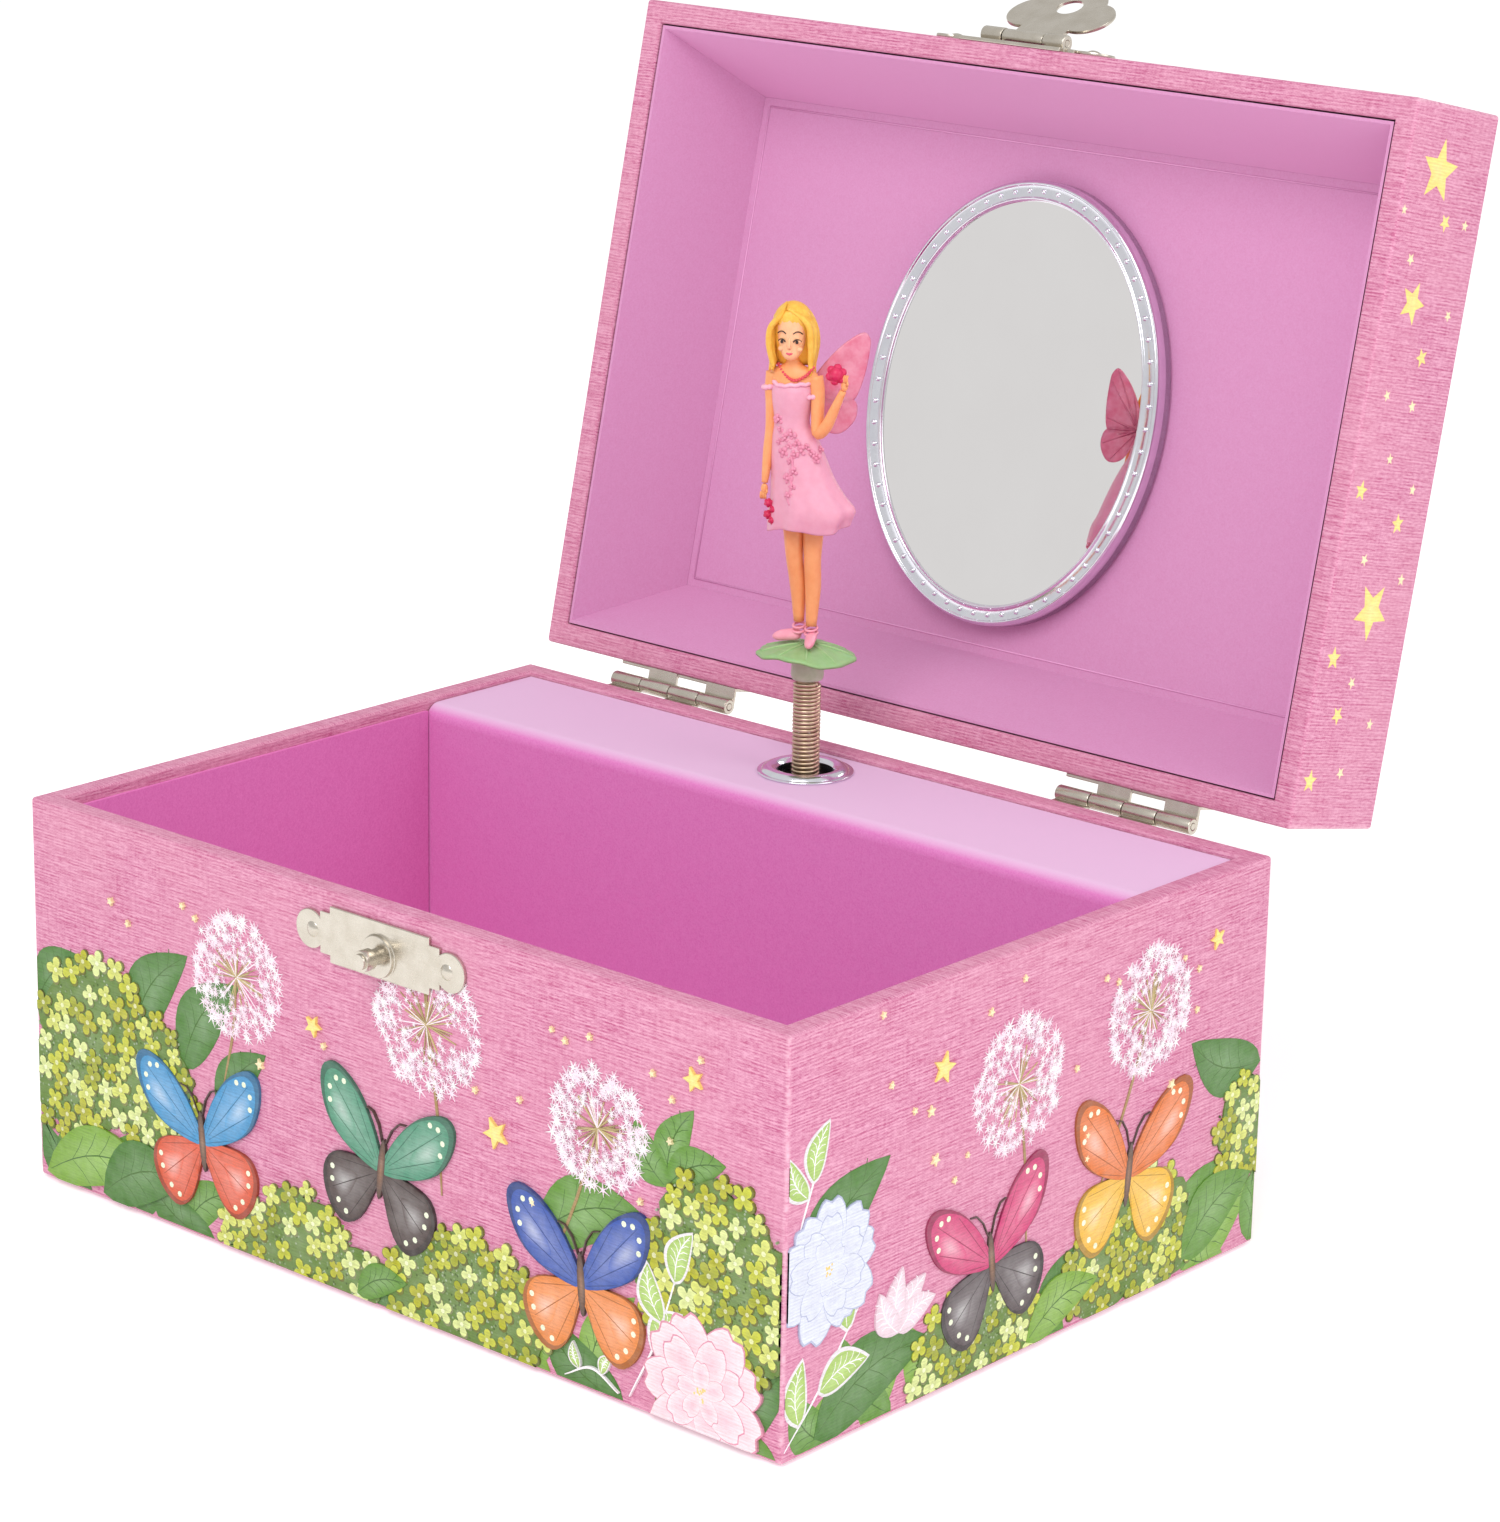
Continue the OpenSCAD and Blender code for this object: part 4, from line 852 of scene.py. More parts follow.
def hedge(picture, start, end, count, seed):
    """Row of dark leaves along the bottom edge."""
    dice = random.Random(seed)
    for k in range(count):
        u = start + (end - start) * k / (count - 1)
        turn = dice.uniform(0.2, 1.2) if k % 2 == 0 else pi - dice.uniform(0.2, 1.2)
        leaf(picture, u, 0.2, dice.uniform(11, 19), dice.uniform(6, 9), turn,
             dice.choice((DARK_GREEN, MID_GREEN, LIGHT_GREEN)))


def scatter_stars(picture, stars):
    for u, v, r in stars:
        turn = sin(u * 3.1 + v * 1.7)
        star(picture, u, v, r, turn, STAR if r > 1.25 else PALE_STAR)


FACE_LOW, FACE_HIGH = base_low.z + 0.5, RIM - 0.6
LID_TALL = lid_high.z - lid_low.z


def base_face(name, side):
    """Picture on an outer wall of the base; u runs to the right as seen from outside."""
    half = (SIDE if side in ("front", "back") else BACK) - 0.5
    turns = {
        "front": lambda u, v, h: (u, -BACK - h, v),
        "back": lambda u, v, h: (-u, BACK + h, v),
        "right": lambda u, v, h: (SIDE + h, u, v),
        "left": lambda u, v, h: (-SIDE - h, -u, v),
    }
    return Picture(name, turns[side], (-half, half, FACE_LOW, FACE_HIGH), INK_BASE, "base")


def lid_face(name, side):
    """Picture on an outer wall of the lid, or on its top; v is the height above the lid's rim."""
    low = lid_low.z
    turns = {
        "front": lambda u, v, h: (u, -BACK - h, low + v),
        "back": lambda u, v, h: (-u, BACK + h, low + v),
        "right": lambda u, v, h: (SIDE + h, u, low + v),
        "left": lambda u, v, h: (-SIDE - h, -u, low + v),
        "top": lambda u, v, h: (u, v, lid_high.z + h),
    }
    half = (SIDE if side in ("front", "back", "top") else BACK) - 0.5
    heights = (-BACK + 0.5, BACK - 0.5) if side == "top" else (0.6, LID_TALL - 0.6)
    return Picture(name, turns[side], (-half, half, *heights), INK_LID, "lid", shut=True)


def draw_front():
    p = base_face("front_picture", "front")
    hedge(p, -70, 74, 22, 101)
    for u, v, r in ((-49, 36, 10), (-38, 34, 10), (-30, 28, 8)):
        leaf(p, u - 4, v - 8, r * 2.0, r * 0.9, 0.9, DARK_GREEN)
    leaf(p, -75, 28, 15, 8, 0.7, DARK_GREEN)
    for turn, length in ((1.2, 13), (0.5, 12), (2.2, 10)):
        leaf(p, 54, 34, length, 6, turn, MID_GREEN)
    leaf(p, 30, 20, 22, 10, 0.4, MID_GREEN)
    leaf(p, -70, 12, 30, 12, 0.25, DARK_GREEN)
    seed_head(p, -30, 43, 9.5, 3, (-33, 26))
    seed_head(p, 8.8, 45.5, 10.5, 4, (11.8, 21))
    seed_head(p, 41.5, 39, 9, 5, (32.5, 16))
    hydrangea(p, [(-61, 25, 13.5), (-50, 22, 10.5), (-68, 18, 9)], 6)
    hydrangea(p, [(-17, 3.5, 10.5), (-26, 1.5, 7.5), (-8, 1.5, 7.5)], 7)
    hydrangea(p, [(11, 5, 10.5), (22, 5.5, 10), (16.5, 9, 8)], 8)
    hydrangea(p, [(63, 26, 11.5), (70, 22, 10.5), (57, 22, 8.5)], 9)
    sprig(p, ((48, 2), (53, 12), (57, 24)), ((0.4, 9, 0.9), (0.65, 9, 1.9), (0.9, 9, 1.2)), PALE_GREEN)
    leaf(p, -73, 1.5, 26, 9.5, 0.2, LIGHT_GREEN)
    leaf(p, -60, 1.5, 20, 10, 0.35, DARK_GREEN)
    leaf(p, -5, 1.5, 11, 5, 0.4, MID_GREEN)
    blossom(p, 61, 6.5, 11, 10, BLOSSOM_EDGE, BLOSSOM_HEART)
    sprig(p, ((36, 1.6), (41, 4), (46, 1.8)), ((0.3, 4, 1.9), (0.7, 4, 1.0)), PALE_GREEN)
    butterfly(p, -37.5, 15.5, 13.0, 0.10, BLUE, RED)
    butterfly(p, 0, 21.5, 13.0, -0.12, TEAL, rgb(70, 48, 44))
    butterfly(p, 39, 15.5, 13.0, 0.08, ROYAL, AMBER)
    scatter_stars(p, (
        (-13.8, 39.7, 1.7), (22.5, 33.2, 2.4), (58.8, 50.5, 1.8), (-25, 31, 0.9), (-38.5, 50, 0.6),
        (-41.2, 51.3, 0.6), (-57, 48.3, 0.7), (-53.3, 45.7, 0.6), (35.5, 50, 0.6), (33, 51, 0.5),
        (40, 51.7, 0.6), (55, 46.7, 0.6), (51.5, 49.5, 0.6), (18.5, 38.5, 0.6), (27, 39.3, 0.6),
        (54.8, 40.8, 0.6), (49.5, 30.7, 0.6), (29.7, 25, 0.6), (-11.7, 37.2, 0.6), (60, 53.5, 0.6)))
    p.build()


def draw_right():
    p = base_face("right_picture", "right")
    hedge(p, -50, 52, 17, 102)
    leaf(p, -50, 22, 24, 11, 0.75, DARK_GREEN)
    leaf(p, -47, 2, 25, 11, 0.3, DARK_GREEN)
    leaf(p, 53, 29, 19, 9, 2.75, DARK_GREEN)
    leaf(p, 30, 2, 26, 12, 0.45, MID_GREEN)
    sprig(p, ((-53, 2), (-46, 9), (-37, 20)), ((0.25, 10, 1.5), (0.5, 11, 0.2), (0.8, 10, 1.4)), PALE_GREEN)
    sprig(p, ((-51, 32), (-49, 37), (-47, 42)), ((0.7, 9, 1.2), (0.5, 8, 2.1)), PALE_GREEN)
    seed_head(p, -5, 41, 10, 13, (-2, 15))
    seed_head(p, 25, 44, 9.5, 14, (14.5, 20))
    hydrangea(p, [(-17, 4, 9.5), (-7, 5, 8.5), (-12, 8, 7)], 15)
    hydrangea(p, [(16, 8, 8.5), (27, 9.5, 10), (32, 7, 6)], 16)
    hydrangea(p, [(50, 20, 7.5)], 17)
    leaf(p, -1.5, 1.5, 17, 7.5, 0.3, LIGHT_GREEN)
    leaf(p, 35, 3, 19, 10, 0.5, MID_GREEN)
    blossom(p, -45, 26, 10, 18, rgb(222, 226, 242), rgb(190, 196, 226))
    for turn, reach in ((0.9, 9), (1.5, 9.5), (0.4, 8.5), (2.1, 8)):
        leaf(p, -30, 12, reach, 4.5, turn, rgb(250, 222, 234), WHITE)
    butterfly(p, -10, 16, 13.0, 0.12, MAGENTA, SMOKE)
    butterfly(p, 21, 20, 13.5, -0.1, ORANGE, YELLOW)
    scatter_stars(p, (
        (-21.7, 47.8, 2.4), (40.5, 51, 1.7), (-24.2, 42.3, 0.9), (-23, 35, 1.0), (30.7, 31.3, 0.9),
        (-27.7, 43.3, 0.6), (-18.7, 30.8, 0.6), (-32.7, 48.3, 0.6), (-11.8, 53.2, 0.7), (-4.5, 56.2, 0.6),
        (-34.8, 58.7, 0.6), (-16, 33.7, 0.5), (36.3, 47.5, 0.6), (32.7, 50, 0.5), (17, 50.3, 0.6),
        (14.2, 51.5, 0.6), (36.2, 41.3, 0.6), (11, 25.5, 0.6), (8, 39.8, 0.6), (11, 29, 0.6)))
    p.build()


def draw_plain_side(name, side, seed):
    """Left and back: the same flowers in another order."""
    p = base_face(name, side)
    half = p.limits[1]
    dice = random.Random(seed)
    hedge(p, -half + 3, half - 2, 16, seed + 40)
    for k in range(5):
        u = -half + 2 + k * half / 2.4
        leaf(p, u, 1.5 + dice.uniform(0, 8), dice.uniform(18, 26), 11, dice.uniform(0.2, 1.1),
             dice.choice((DARK_GREEN, MID_GREEN)))
    for k, u in enumerate((-half * 0.55, 0.0, half * 0.55)):
        seed_head(p, u, 42 + 2 * (k % 2), 9.5, seed + k, (u + 3, 20))
    for k, u in enumerate((-half * 0.82, -half * 0.2, half * 0.78)):
        hydrangea(p, [(u, 8 + 9 * (k % 2), 10.5), (u + 8, 6 + 8 * (k % 2), 8)], seed + 10 + k)
    blossom(p, half * 0.32, 8, 9.5, seed + 20, BLOSSOM_EDGE, BLOSSOM_HEART)
    butterfly(p, -half * 0.5, 19, 14, 0.1, BLUE, AMBER)
    butterfly(p, half * 0.42, 22, 13.5, -0.12, MAGENTA, YELLOW)
    stars = [(dice.uniform(-half, half), dice.uniform(30, 55), dice.choice((0.6, 0.7, 1.0, 1.9)))
             for _ in range(16)]
    scatter_stars(p, stars)
    p.build()


def draw_lid():
    p = lid_face("lid_right_picture", "right")
    scatter_stars(p, (
        (-43.8, 8.7, 4.8), (-24.5, 7.7, 3.3), (20.7, 11.4, 4.5), (28, 3.7, 1.8), (46.3, 3.2, 1.8),
        (-36.7, 12.6, 1.4), (-16.9, 12.8, 1.5), (7.6, 14.4, 1.6), (3.3, 3.1, 1.6), (36.4, 7.4, 1.5),
        (45, 11, 1.0), (31.5, 9.7, 1.0), (13.3, 7.2, 1.0), (-9.7, 12.6, 1.0), (-1.7, 9.2, 0.9),
        (-10.8, 5.4, 0.9), (-30.7, 5.2, 1.0), (-36.8, 18.1, 0.9), (-23.5, 17.9, 0.9), (2.4, 16.8, 0.9),
        (15.8, 18.1, 1.0), (37.6, 16.6, 0.9), (-37.5, 1.2, 0.8)))
    p.build()
    for name, side, seed in (("lid_left_picture", "left", 31), ("lid_front_picture", "front", 32),
                             ("lid_back_picture", "back", 33)):
        p = lid_face(name, side)
        dice = random.Random(seed)
        half = p.limits[1]
        count = int(half / 4)
        stars = [(-half + (k + dice.uniform(0.2, 0.8)) * 2 * half / count, dice.uniform(3, LID_TALL - 4),
                  dice.choice((0.9, 1.0, 1.5, 1.8, 3.4, 4.6))) for k in range(count)]
        scatter_stars(p, stars)
        p.build()
    p = lid_face("lid_top_picture", "top")
    dice = random.Random(34)
    for k in range(4):
        leaf(p, -66 + k * 38, -50, 26, 12, 0.4 + 0.2 * k, (DARK_GREEN, MID_GREEN)[k % 2])
    for k, u in enumerate((-52, 2, 50)):
        seed_head(p, u, -12 + 8 * (k % 2), 11, 40 + k, (u + 4, -36))
    for k, u in enumerate((-62, -26, 28, 64)):
        hydrangea(p, [(u, -43 + 3 * (k % 2), 11), (u + 7, -40, 8)], 50 + k)
    blossom(p, 4, -42, 12, 60, BLOSSOM_EDGE, BLOSSOM_HEART)
    butterfly(p, -28, -22, 16, 0.1, BLUE, RED)
    butterfly(p, 27, -18, 16, -0.1, MAGENTA, YELLOW)
    scatter_stars(p, [(dice.uniform(-70, 70), dice.uniform(4, 49), dice.choice((0.7, 1.0, 1.6, 3.2, 4.6)))
                      for _ in range(30)])
    p.build()


# ---------- Mirror ----------

mirror_low, mirror_high = shut_box_mm("mirror_frame")
glass_low, glass_high = shut_box_mm("mirror_glass")


def ellipse_ring(half_x, half_y, z, centre, count=120):
    return [Vector((centre.x + x, centre.y + y, z)) for x, y in circle(count, half_x, half_y)]


def mirror_ring():
    """Stepped plated ring with two fine rolled edges and a row of beads; it faces into the box."""
    centre = (mirror_low + mirror_high) / 2
    a, b = mirror_high.x - centre.x, mirror_high.y - centre.y
    back, face, bead_line = mirror_high.z, mirror_low.z, 1.8
    section = [(0.0, back), (0.0, face + 1.0), (0.12, face + 0.45), (0.4, face + 0.12), (0.62, face),
               (0.78, face + 0.06), (0.86, face + 0.28), (1.0, face + 0.34), (2.62, face + 0.34),
               (2.74, face + 0.28), (2.84, face + 0.06), (3.0, face + 0.02), (3.2, face + 0.2),
               (3.4, face + 0.8), (3.5, face + 1.6), (3.5, back)]
    bm = bmesh.new()
    add_rings(bm, [ellipse_ring(a - d, b - d, z, centre) for d, z in section], loop=True)
    for spot in ellipse_ring(a - bead_line, b - bead_line, face + 0.36, centre, 60):
        add_ball(bm, spot, 0.44, (1, 1, 0.95), 6, 10)
    mesh = finish_mesh(bm, "mirror_ring", CHROME)
    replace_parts(place("mirror_ring", mesh, "lid", shut=True), "mirror_frame")


# ---------- Folds in the lid lining ----------


def lining_folds():
    """Raised creases of the lining paper round the lid's floor and up its corners."""
    low, high = shut_box_mm("lid_panel_lining")
    side_low, side_high = shut_box_mm("lid_side_lining")
    bm = bmesh.new()
    for inset in (0.35, 1.9):
        x, y = high.x - inset, high.y - inset
        corners = [(x, y), (-x, y), (-x, -y), (x, -y), (x, y)]
        for (ax, ay), (bx, by) in zip(corners, corners[1:]):
            add_tube(bm, [(ax, ay, low.z), (bx, by, low.z)], 0.16, 6)
    for sx in (1, -1):
        for sy in (1, -1):
            foot = Vector((sx * (high.x - 0.4), sy * (high.y - 0.4), low.z))
            rim = Vector((sx * (side_high.x - 0.5), sy * (side_high.y - 0.5), side_low.z + 0.6))
            add_tube(bm, [foot, foot.lerp(rim, 0.5), rim], 0.16, 6)
    mesh = finish_mesh(bm, "lining_folds", UNDER_LIT_LID_LINING)
    place("lining_folds", mesh, "lid", shut=True)


# ---------- Spring under the figure ----------

AXIS = Vector((-3.0, 40.0, 0.0))
COIL_RADIUS = 1.9
WIRE_RADIUS = 0.29
spring_low, spring_high = box_mm("figure_spring")


def coil_piece(name, low, high, turns):
    """Half of the close-wound spring: a straight coil of the given turns from the height low to the height
    high.
    """
    bm = bmesh.new()
    points = []
    steps = int(turns * 20)
    for i in range(steps + 1):
        a = tau * turns * i / steps
        z = low + (high - low) * i / steps
        points.append(AXIS + Vector((COIL_RADIUS * cos(a), COIL_RADIUS * sin(a), z)))
    add_tube(bm, points, WIRE_RADIUS, 8)
    piece = bpy.data.objects.new(name, finish_mesh(bm, name, WIRE))
    bpy.context.scene.collection.objects.link(piece)
    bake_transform(piece)
    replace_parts(piece, "figure_spring")


def spring_coils():
    middle = (spring_low.z + spring_high.z) / 2 + 1.0

    def spot(z):
        return AXIS + Vector((0, 0, z))
    low, high = spring_low.z + 0.3, spring_high.z - 0.3
    coil_piece("spring_lower", low, middle, 14)
    coil_piece("spring_upper", middle, high, 12)


# ---------- Leaf, doll and wings ----------
# Drawn in the figure's own frame: its foot at the origin, its front to -y

FOOT = Vector((-3.0, 40.0, 80.2))
FIGURE_TURN = radians(16.0)
# How far a point moves across the camera's view for each mm to the right, back and up
VIEW_RIGHT, VIEW_BACK, VIEW_UP = 0.903, 0.4296, 0.0172


# Angles on the leaf: its notch, and the side beside the folded cover
NOTCH_AT = 1.9
COVER_AT = 4.43


def place_figure(name, bm, material):
    bmesh.ops.rotate(bm, cent=(0, 0, 0), matrix=Matrix.Rotation(FIGURE_TURN, 3, "Z"), verts=bm.verts)
    bmesh.ops.translate(bm, vec=FOOT, verts=bm.verts)
    return place(name, finish_mesh(bm, name, material), "figure")


def at(r, z, y=0.0):
    """Point at height z and depth y that the camera sees at an offset r from the foot's axis."""
    return Vector(((r - VIEW_BACK * y - VIEW_UP * z) / VIEW_RIGHT, y, z))


def loft(bm, stations, count, sides=28, wave=None):
    """Skin over stations (z, centre x, centre y, half width, half depth), smoothed to count rings."""
    rings = []
    for i, s in enumerate(curve_points(stations, count)):
        z, cx, cy, a, b = s
        ring = []
        for k in range(sides):
            t = tau * k / sides
            grow, drop = wave(t, i / (count - 1)) if wave else (1.0, 0.0)
            ring.append(Vector((cx + a * grow * cos(t), cy + b * grow * sin(t), z + drop)))
        rings.append(ring)
    add_rings(bm, rings)


def leaf_reach(t):
    """Radius of the leaf at an angle, with its notch."""
    left = 0.7 * max(0.0, -cos(t + 0.25))
    wavy = 0.16 * sin(5 * t + 0.6) + 0.16 * sin(11 * t)
    return 7.35 + left + wavy - 2.2 * exp(-((t - NOTCH_AT) / 0.16) ** 2)


def leaf_wave(t, part):
    """Rise of the leaf at an angle and a share of its radius; it droops, least beside the cover."""
    wave = 0.16 * part ** 3 * (1 + sin(4 * t + 1.0)) + 0.06 * part ** 2 * (1 + sin(9 * t))
    return wave - 1.0 * part ** 2 * (1 - exp(-((t - COVER_AT) / 0.85) ** 2))


def lily_pad():
    """Wavy leaf with a notch at the back, raised veins and a stub that holds the spring."""
    def ring(part, height, droop):
        points = []
        for k in range(96):
            t = tau * k / 96
            r = leaf_reach(t) * part
            rib = 0.10 * part * (1 - part) * 4 * max(0.0, cos(12 * t)) ** 6
            z = height - droop * part ** 2 + leaf_wave(t, part) + rib
            points.append(Vector((r * cos(t), r * sin(t), z)))
        return points

    bm = bmesh.new()
    top = [ring(p, 0.0, 1.05) for p in (0.12, 0.3, 0.45, 0.6, 0.75, 0.88, 0.96)]
    rim = [ring(1.0, -0.12, 1.05), ring(1.0, -0.5, 1.05)]
    under = [ring(p, -0.72, 0.8) for p in (0.95, 0.8, 0.6, 0.42, 0.34)]
    add_rings(bm, top + rim + under)
    place_figure("lily_pad", bm, LEAF)
    bm = bmesh.new()
    for k in range(9):
        t = tau * (k + 0.3) / 9
        if abs(t - NOTCH_AT) < 0.2:
            continue
        points = []
        for i in range(9):
            part = 0.16 + 0.76 * i / 8
            r = leaf_reach(t) * part
            points.append((r * cos(t), r * sin(t), 0.02 - 1.05 * part ** 2 + leaf_wave(t, part)))
        add_tube(bm, points, [0.24 - 0.017 * i for i in range(9)], 6)
    place_figure("lily_pad_veins", bm, LEAF_VEIN)
    bm = bmesh.new()
    stub = ((-5.6, 2.3), (-4.9, 2.55), (-2.6, 2.5), (-1.6, 3.3), (-1.0, 3.6))
    loft(bm, [(z, 0, 0, r, r) for z, r in stub], 12)
    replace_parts(place_figure("leaf_stub", bm, STUB), "lily_leaf")


# Skirt and bodice: height, offset in the view, half width, half depth, place from front to back
DRESS_SHAPE = (
    (40.6, -2.3, 3.05, 2.0, -1.9), (39.4, -2.4, 3.2, 2.35, -2.0), (37.6, -2.5, 3.0, 2.3, -2.0),
    (34.6, -2.55, 2.65, 2.05, -1.9), (32.4, -2.1, 3.4, 2.7, -1.7), (29.5, -1.6, 4.1, 3.4, -1.4),
    (26.0, -0.9, 4.75, 4.0, -1.0), (23.2, -0.1, 5.6, 4.6, -0.8), (21.2, 0.4, 6.5, 5.0, -0.6),
    (19.3, 0.1, 6.2, 4.9, -0.6), (18.3, -0.1, 5.9, 4.7, -0.6))


def dress_front(r, z, out=0.0):
    """Point on the front of the dress that shows at r and z."""
    rows = DRESS_SHAPE
    k = next((i for i in range(len(rows) - 1) if rows[i + 1][0] <= z), len(rows) - 2)
    share = (rows[k][0] - z) / (rows[k][0] - rows[k + 1][0])
    _, middle, half, depth, y0 = (a + (b - a) * share for a, b in zip(rows[k], rows[k + 1]))
    centre = at(middle, z, y0)
    y = y0 - depth
    for _ in range(4):
        x = at(r, z, y).x
        y = y0 - depth * sqrt(max(1 - ((x - centre.x) / (half / 0.95)) ** 2, 0.02)) - out
    return at(r, z, y)


def doll_dress():
    """Bodice and a skirt with soft folds that flares to one side."""
    bm = bmesh.new()
    stations = []
    for z, r, half, depth, y in DRESS_SHAPE:
        p = at(r, z, y)
        stations.append((z, p.x, p.y, half / 0.95, depth))
    stations += [(19.6, -0.3, -0.6, 5.0, 3.9), (22.0, -0.7, -0.8, 3.6, 2.8), (24.0, -1.0, -0.9, 2.0, 1.6)]

    def folds(t, part):
        flare = min(max((part - 0.40) / 0.36, 0.0), 1.0)
        if part > 0.84:
            flare *= max(0.0, (1 - part) / 0.16)
        grow = 1 + flare * (0.05 * sin(7 * t + 0.5) + 0.03 * sin(11 * t + 1.2))
        return grow, flare * (0.45 * sin(3 * t + 0.8) + 0.5 * cos(t))
    loft(bm, stations, 50, 72, folds)
    piece = place_figure("doll_dress", bm, DRESS)
    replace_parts(piece, "fairy_doll")
    bm = bmesh.new()
    centre = at(-2.3, 40.3, -1.9)
    neckline = []
    for k in range(41):
        t = tau * k / 40
        dip = 0.55 * abs(cos(t + 0.4)) + 0.12 * sin(12 * t)
        neckline.append(centre + Vector((3.15 * cos(t), 2.1 * sin(t), dip)))
    add_tube(bm, neckline, 0.34, 8)
    for r, z in ((-5.75, 39.7), (0.75, 38.9)):
        cuff = at(r, z, -1.9)
        ring = []
        for k in range(31):
            t = tau * k / 30
            ring.append(cuff + Vector((1.0 * cos(t), 1.0 * sin(t), 0.2 * cos(t))))
        add_tube(bm, ring, [0.42 + 0.07 * sin(9 * tau * k / 30) for k in range(31)], 8)
    place_figure("doll_ruffles", bm, STRAP)


def doll_flowers():
    """Raised flowers in a band across the hip, with a trail down the skirt."""
    bm = bmesh.new()
    dice = random.Random(71)
    spots = [(-4.4, 33.6), (-3.6, 32.6), (-2.7, 33.2), (-3.1, 31.4), (-2.0, 31.9), (-1.2, 30.9), (-0.4, 31.4),
             (0.3, 30.4), (1.1, 29.8), (-4.5, 31.9), (-2.2, 30.3), (-3.9, 30.4), (-2.9, 29.2), (-2.4, 27.7),
             (-3.2, 26.6), (-2.6, 25.3), (-3.1, 24.0), (-4.6, 35.2), (1.7, 30.9)]
    for i, (r, z) in enumerate(spots):
        size = 0.62 + 0.14 * (i % 3)
        centre = dress_front(r, z, 0.1)
        add_ball(bm, centre + Vector((0, -0.15, 0)), size * 0.34, (1, 0.8, 1), 6, 8)
        for k in range(5):
            a = tau * (k + dice.random()) / 5
            petal = centre + Vector((size * 0.6 * cos(a), 0.05, size * 0.6 * sin(a)))
            add_ball(bm, petal, size * 0.42, (1, 0.55, 1), 6, 8)
    trail = ((-2.7, 30.0), (-2.5, 28.4), (-3.0, 27.0), (-2.7, 25.6), (-3.2, 23.4), (-2.9, 22.6))
    add_tube(bm, curve_points([dress_front(r, z, 0.05) for r, z in trail], 20), 0.2, 6)
    place_figure("dress_flowers", bm, RELIEF)


def add_limb(bm, knots, radii, count, sides):
    """Smooth tube through the knots, whose radius follows an evenly spaced list."""
    add_tube(bm, curve_points(knots, count), [lerp(radii, i / (count - 1)) for i in range(count)], sides)


def add_hand(bm, palm, ahead):
    """Palm, four fingers and a thumb that point ahead."""
    add_ball(bm, palm, 0.72, (0.8, 0.6, 1.15), 8, 12)
    for k in range(4):
        root = palm + Vector((-0.42 + 0.28 * k, -0.1, 0)) + ahead * 0.5
        finger = [root, root + ahead * 0.7, root + ahead * 1.15 + Vector((0, 0.35, 0))]
        add_tube(bm, curve_points(finger, 6), [0.17, 0.17, 0.16, 0.15, 0.14, 0.1], 6)
    root = palm + Vector((0.5, -0.25, 0))
    thumb = [root, root + ahead * 0.45 + Vector((0.15, -0.1, 0)), root + ahead * 0.8]
    add_tube(bm, thumb, [0.18, 0.17, 0.12], 6)


def doll_body():
    """Chest and neck, two arms with hands, and two legs."""
    bm = bmesh.new()
    chest = []
    for r, half, depth, z, y in (
            (-2.3, 2.5, 1.6, 39.0, -1.9), (-2.25, 3.1, 1.95, 40.4, -1.9), (-2.2, 3.9, 1.75, 41.6, -1.8),
            (-2.2, 3.3, 1.45, 42.6, -1.75), (-2.3, 1.5, 1.1, 43.4, -1.8), (-2.4, 1.0, 0.95, 44.2, -1.9),
            (-2.45, 0.95, 0.95, 45.6, -1.9)):
        p = at(r, z, y)
        chest.append((z, p.x, p.y, half, depth))
    loft(bm, chest, 22)
    left = [at(-5.35, 41.9, -1.8), at(-5.6, 39.5, -1.9), at(-5.6, 36.5, -2.0), at(-5.7, 33.4, -2.2),
            at(-6.1, 30.0, -2.9), at(-6.5, 26.6, -3.5), at(-6.65, 25.2, -3.6)]
    slim = (1.15, 1.05, 0.95, 0.88, 0.85, 0.62, 0.48)
    add_limb(bm, left, slim, 24, 12)
    right = [at(0.95, 41.9, -1.8), at(1.3, 39.5, -2.0), at(1.25, 36.0, -2.3), at(1.35, 33.5, -2.7),
             at(2.6, 34.9, -3.2), at(3.9, 38.0, -3.6), at(5.0, 40.6, -3.8)]
    slim = (1.15, 1.08, 1.0, 0.95, 0.92, 0.7, 0.5)
    add_limb(bm, right, slim, 28, 12)
    add_hand(bm, at(-6.7, 24.3, -3.7), Vector((-0.1, -0.1, -1)))
    add_hand(bm, at(5.2, 41.4, -3.85), Vector((0.1, -0.2, 1)))
    for hip, knee, ankle in ((at(-2.4, 22.0, -1.2), at(-2.1, 13.5, -1.1), at(-1.4, 3.4, -0.2)),
                             (at(0.8, 22.0, -0.4), at(0.6, 13.5, -0.9), at(0.45, 3.0, -0.6))):
        middle = (knee + ankle) / 2 + Vector((0, 0.35, 0.6))
        knots = [hip, (hip + knee) / 2, knee, middle, ankle]
        add_limb(bm, knots, (1.75, 1.6, 1.32, 1.25, 0.82), 24, 16)
    place_figure("doll_body", bm, SKIN)


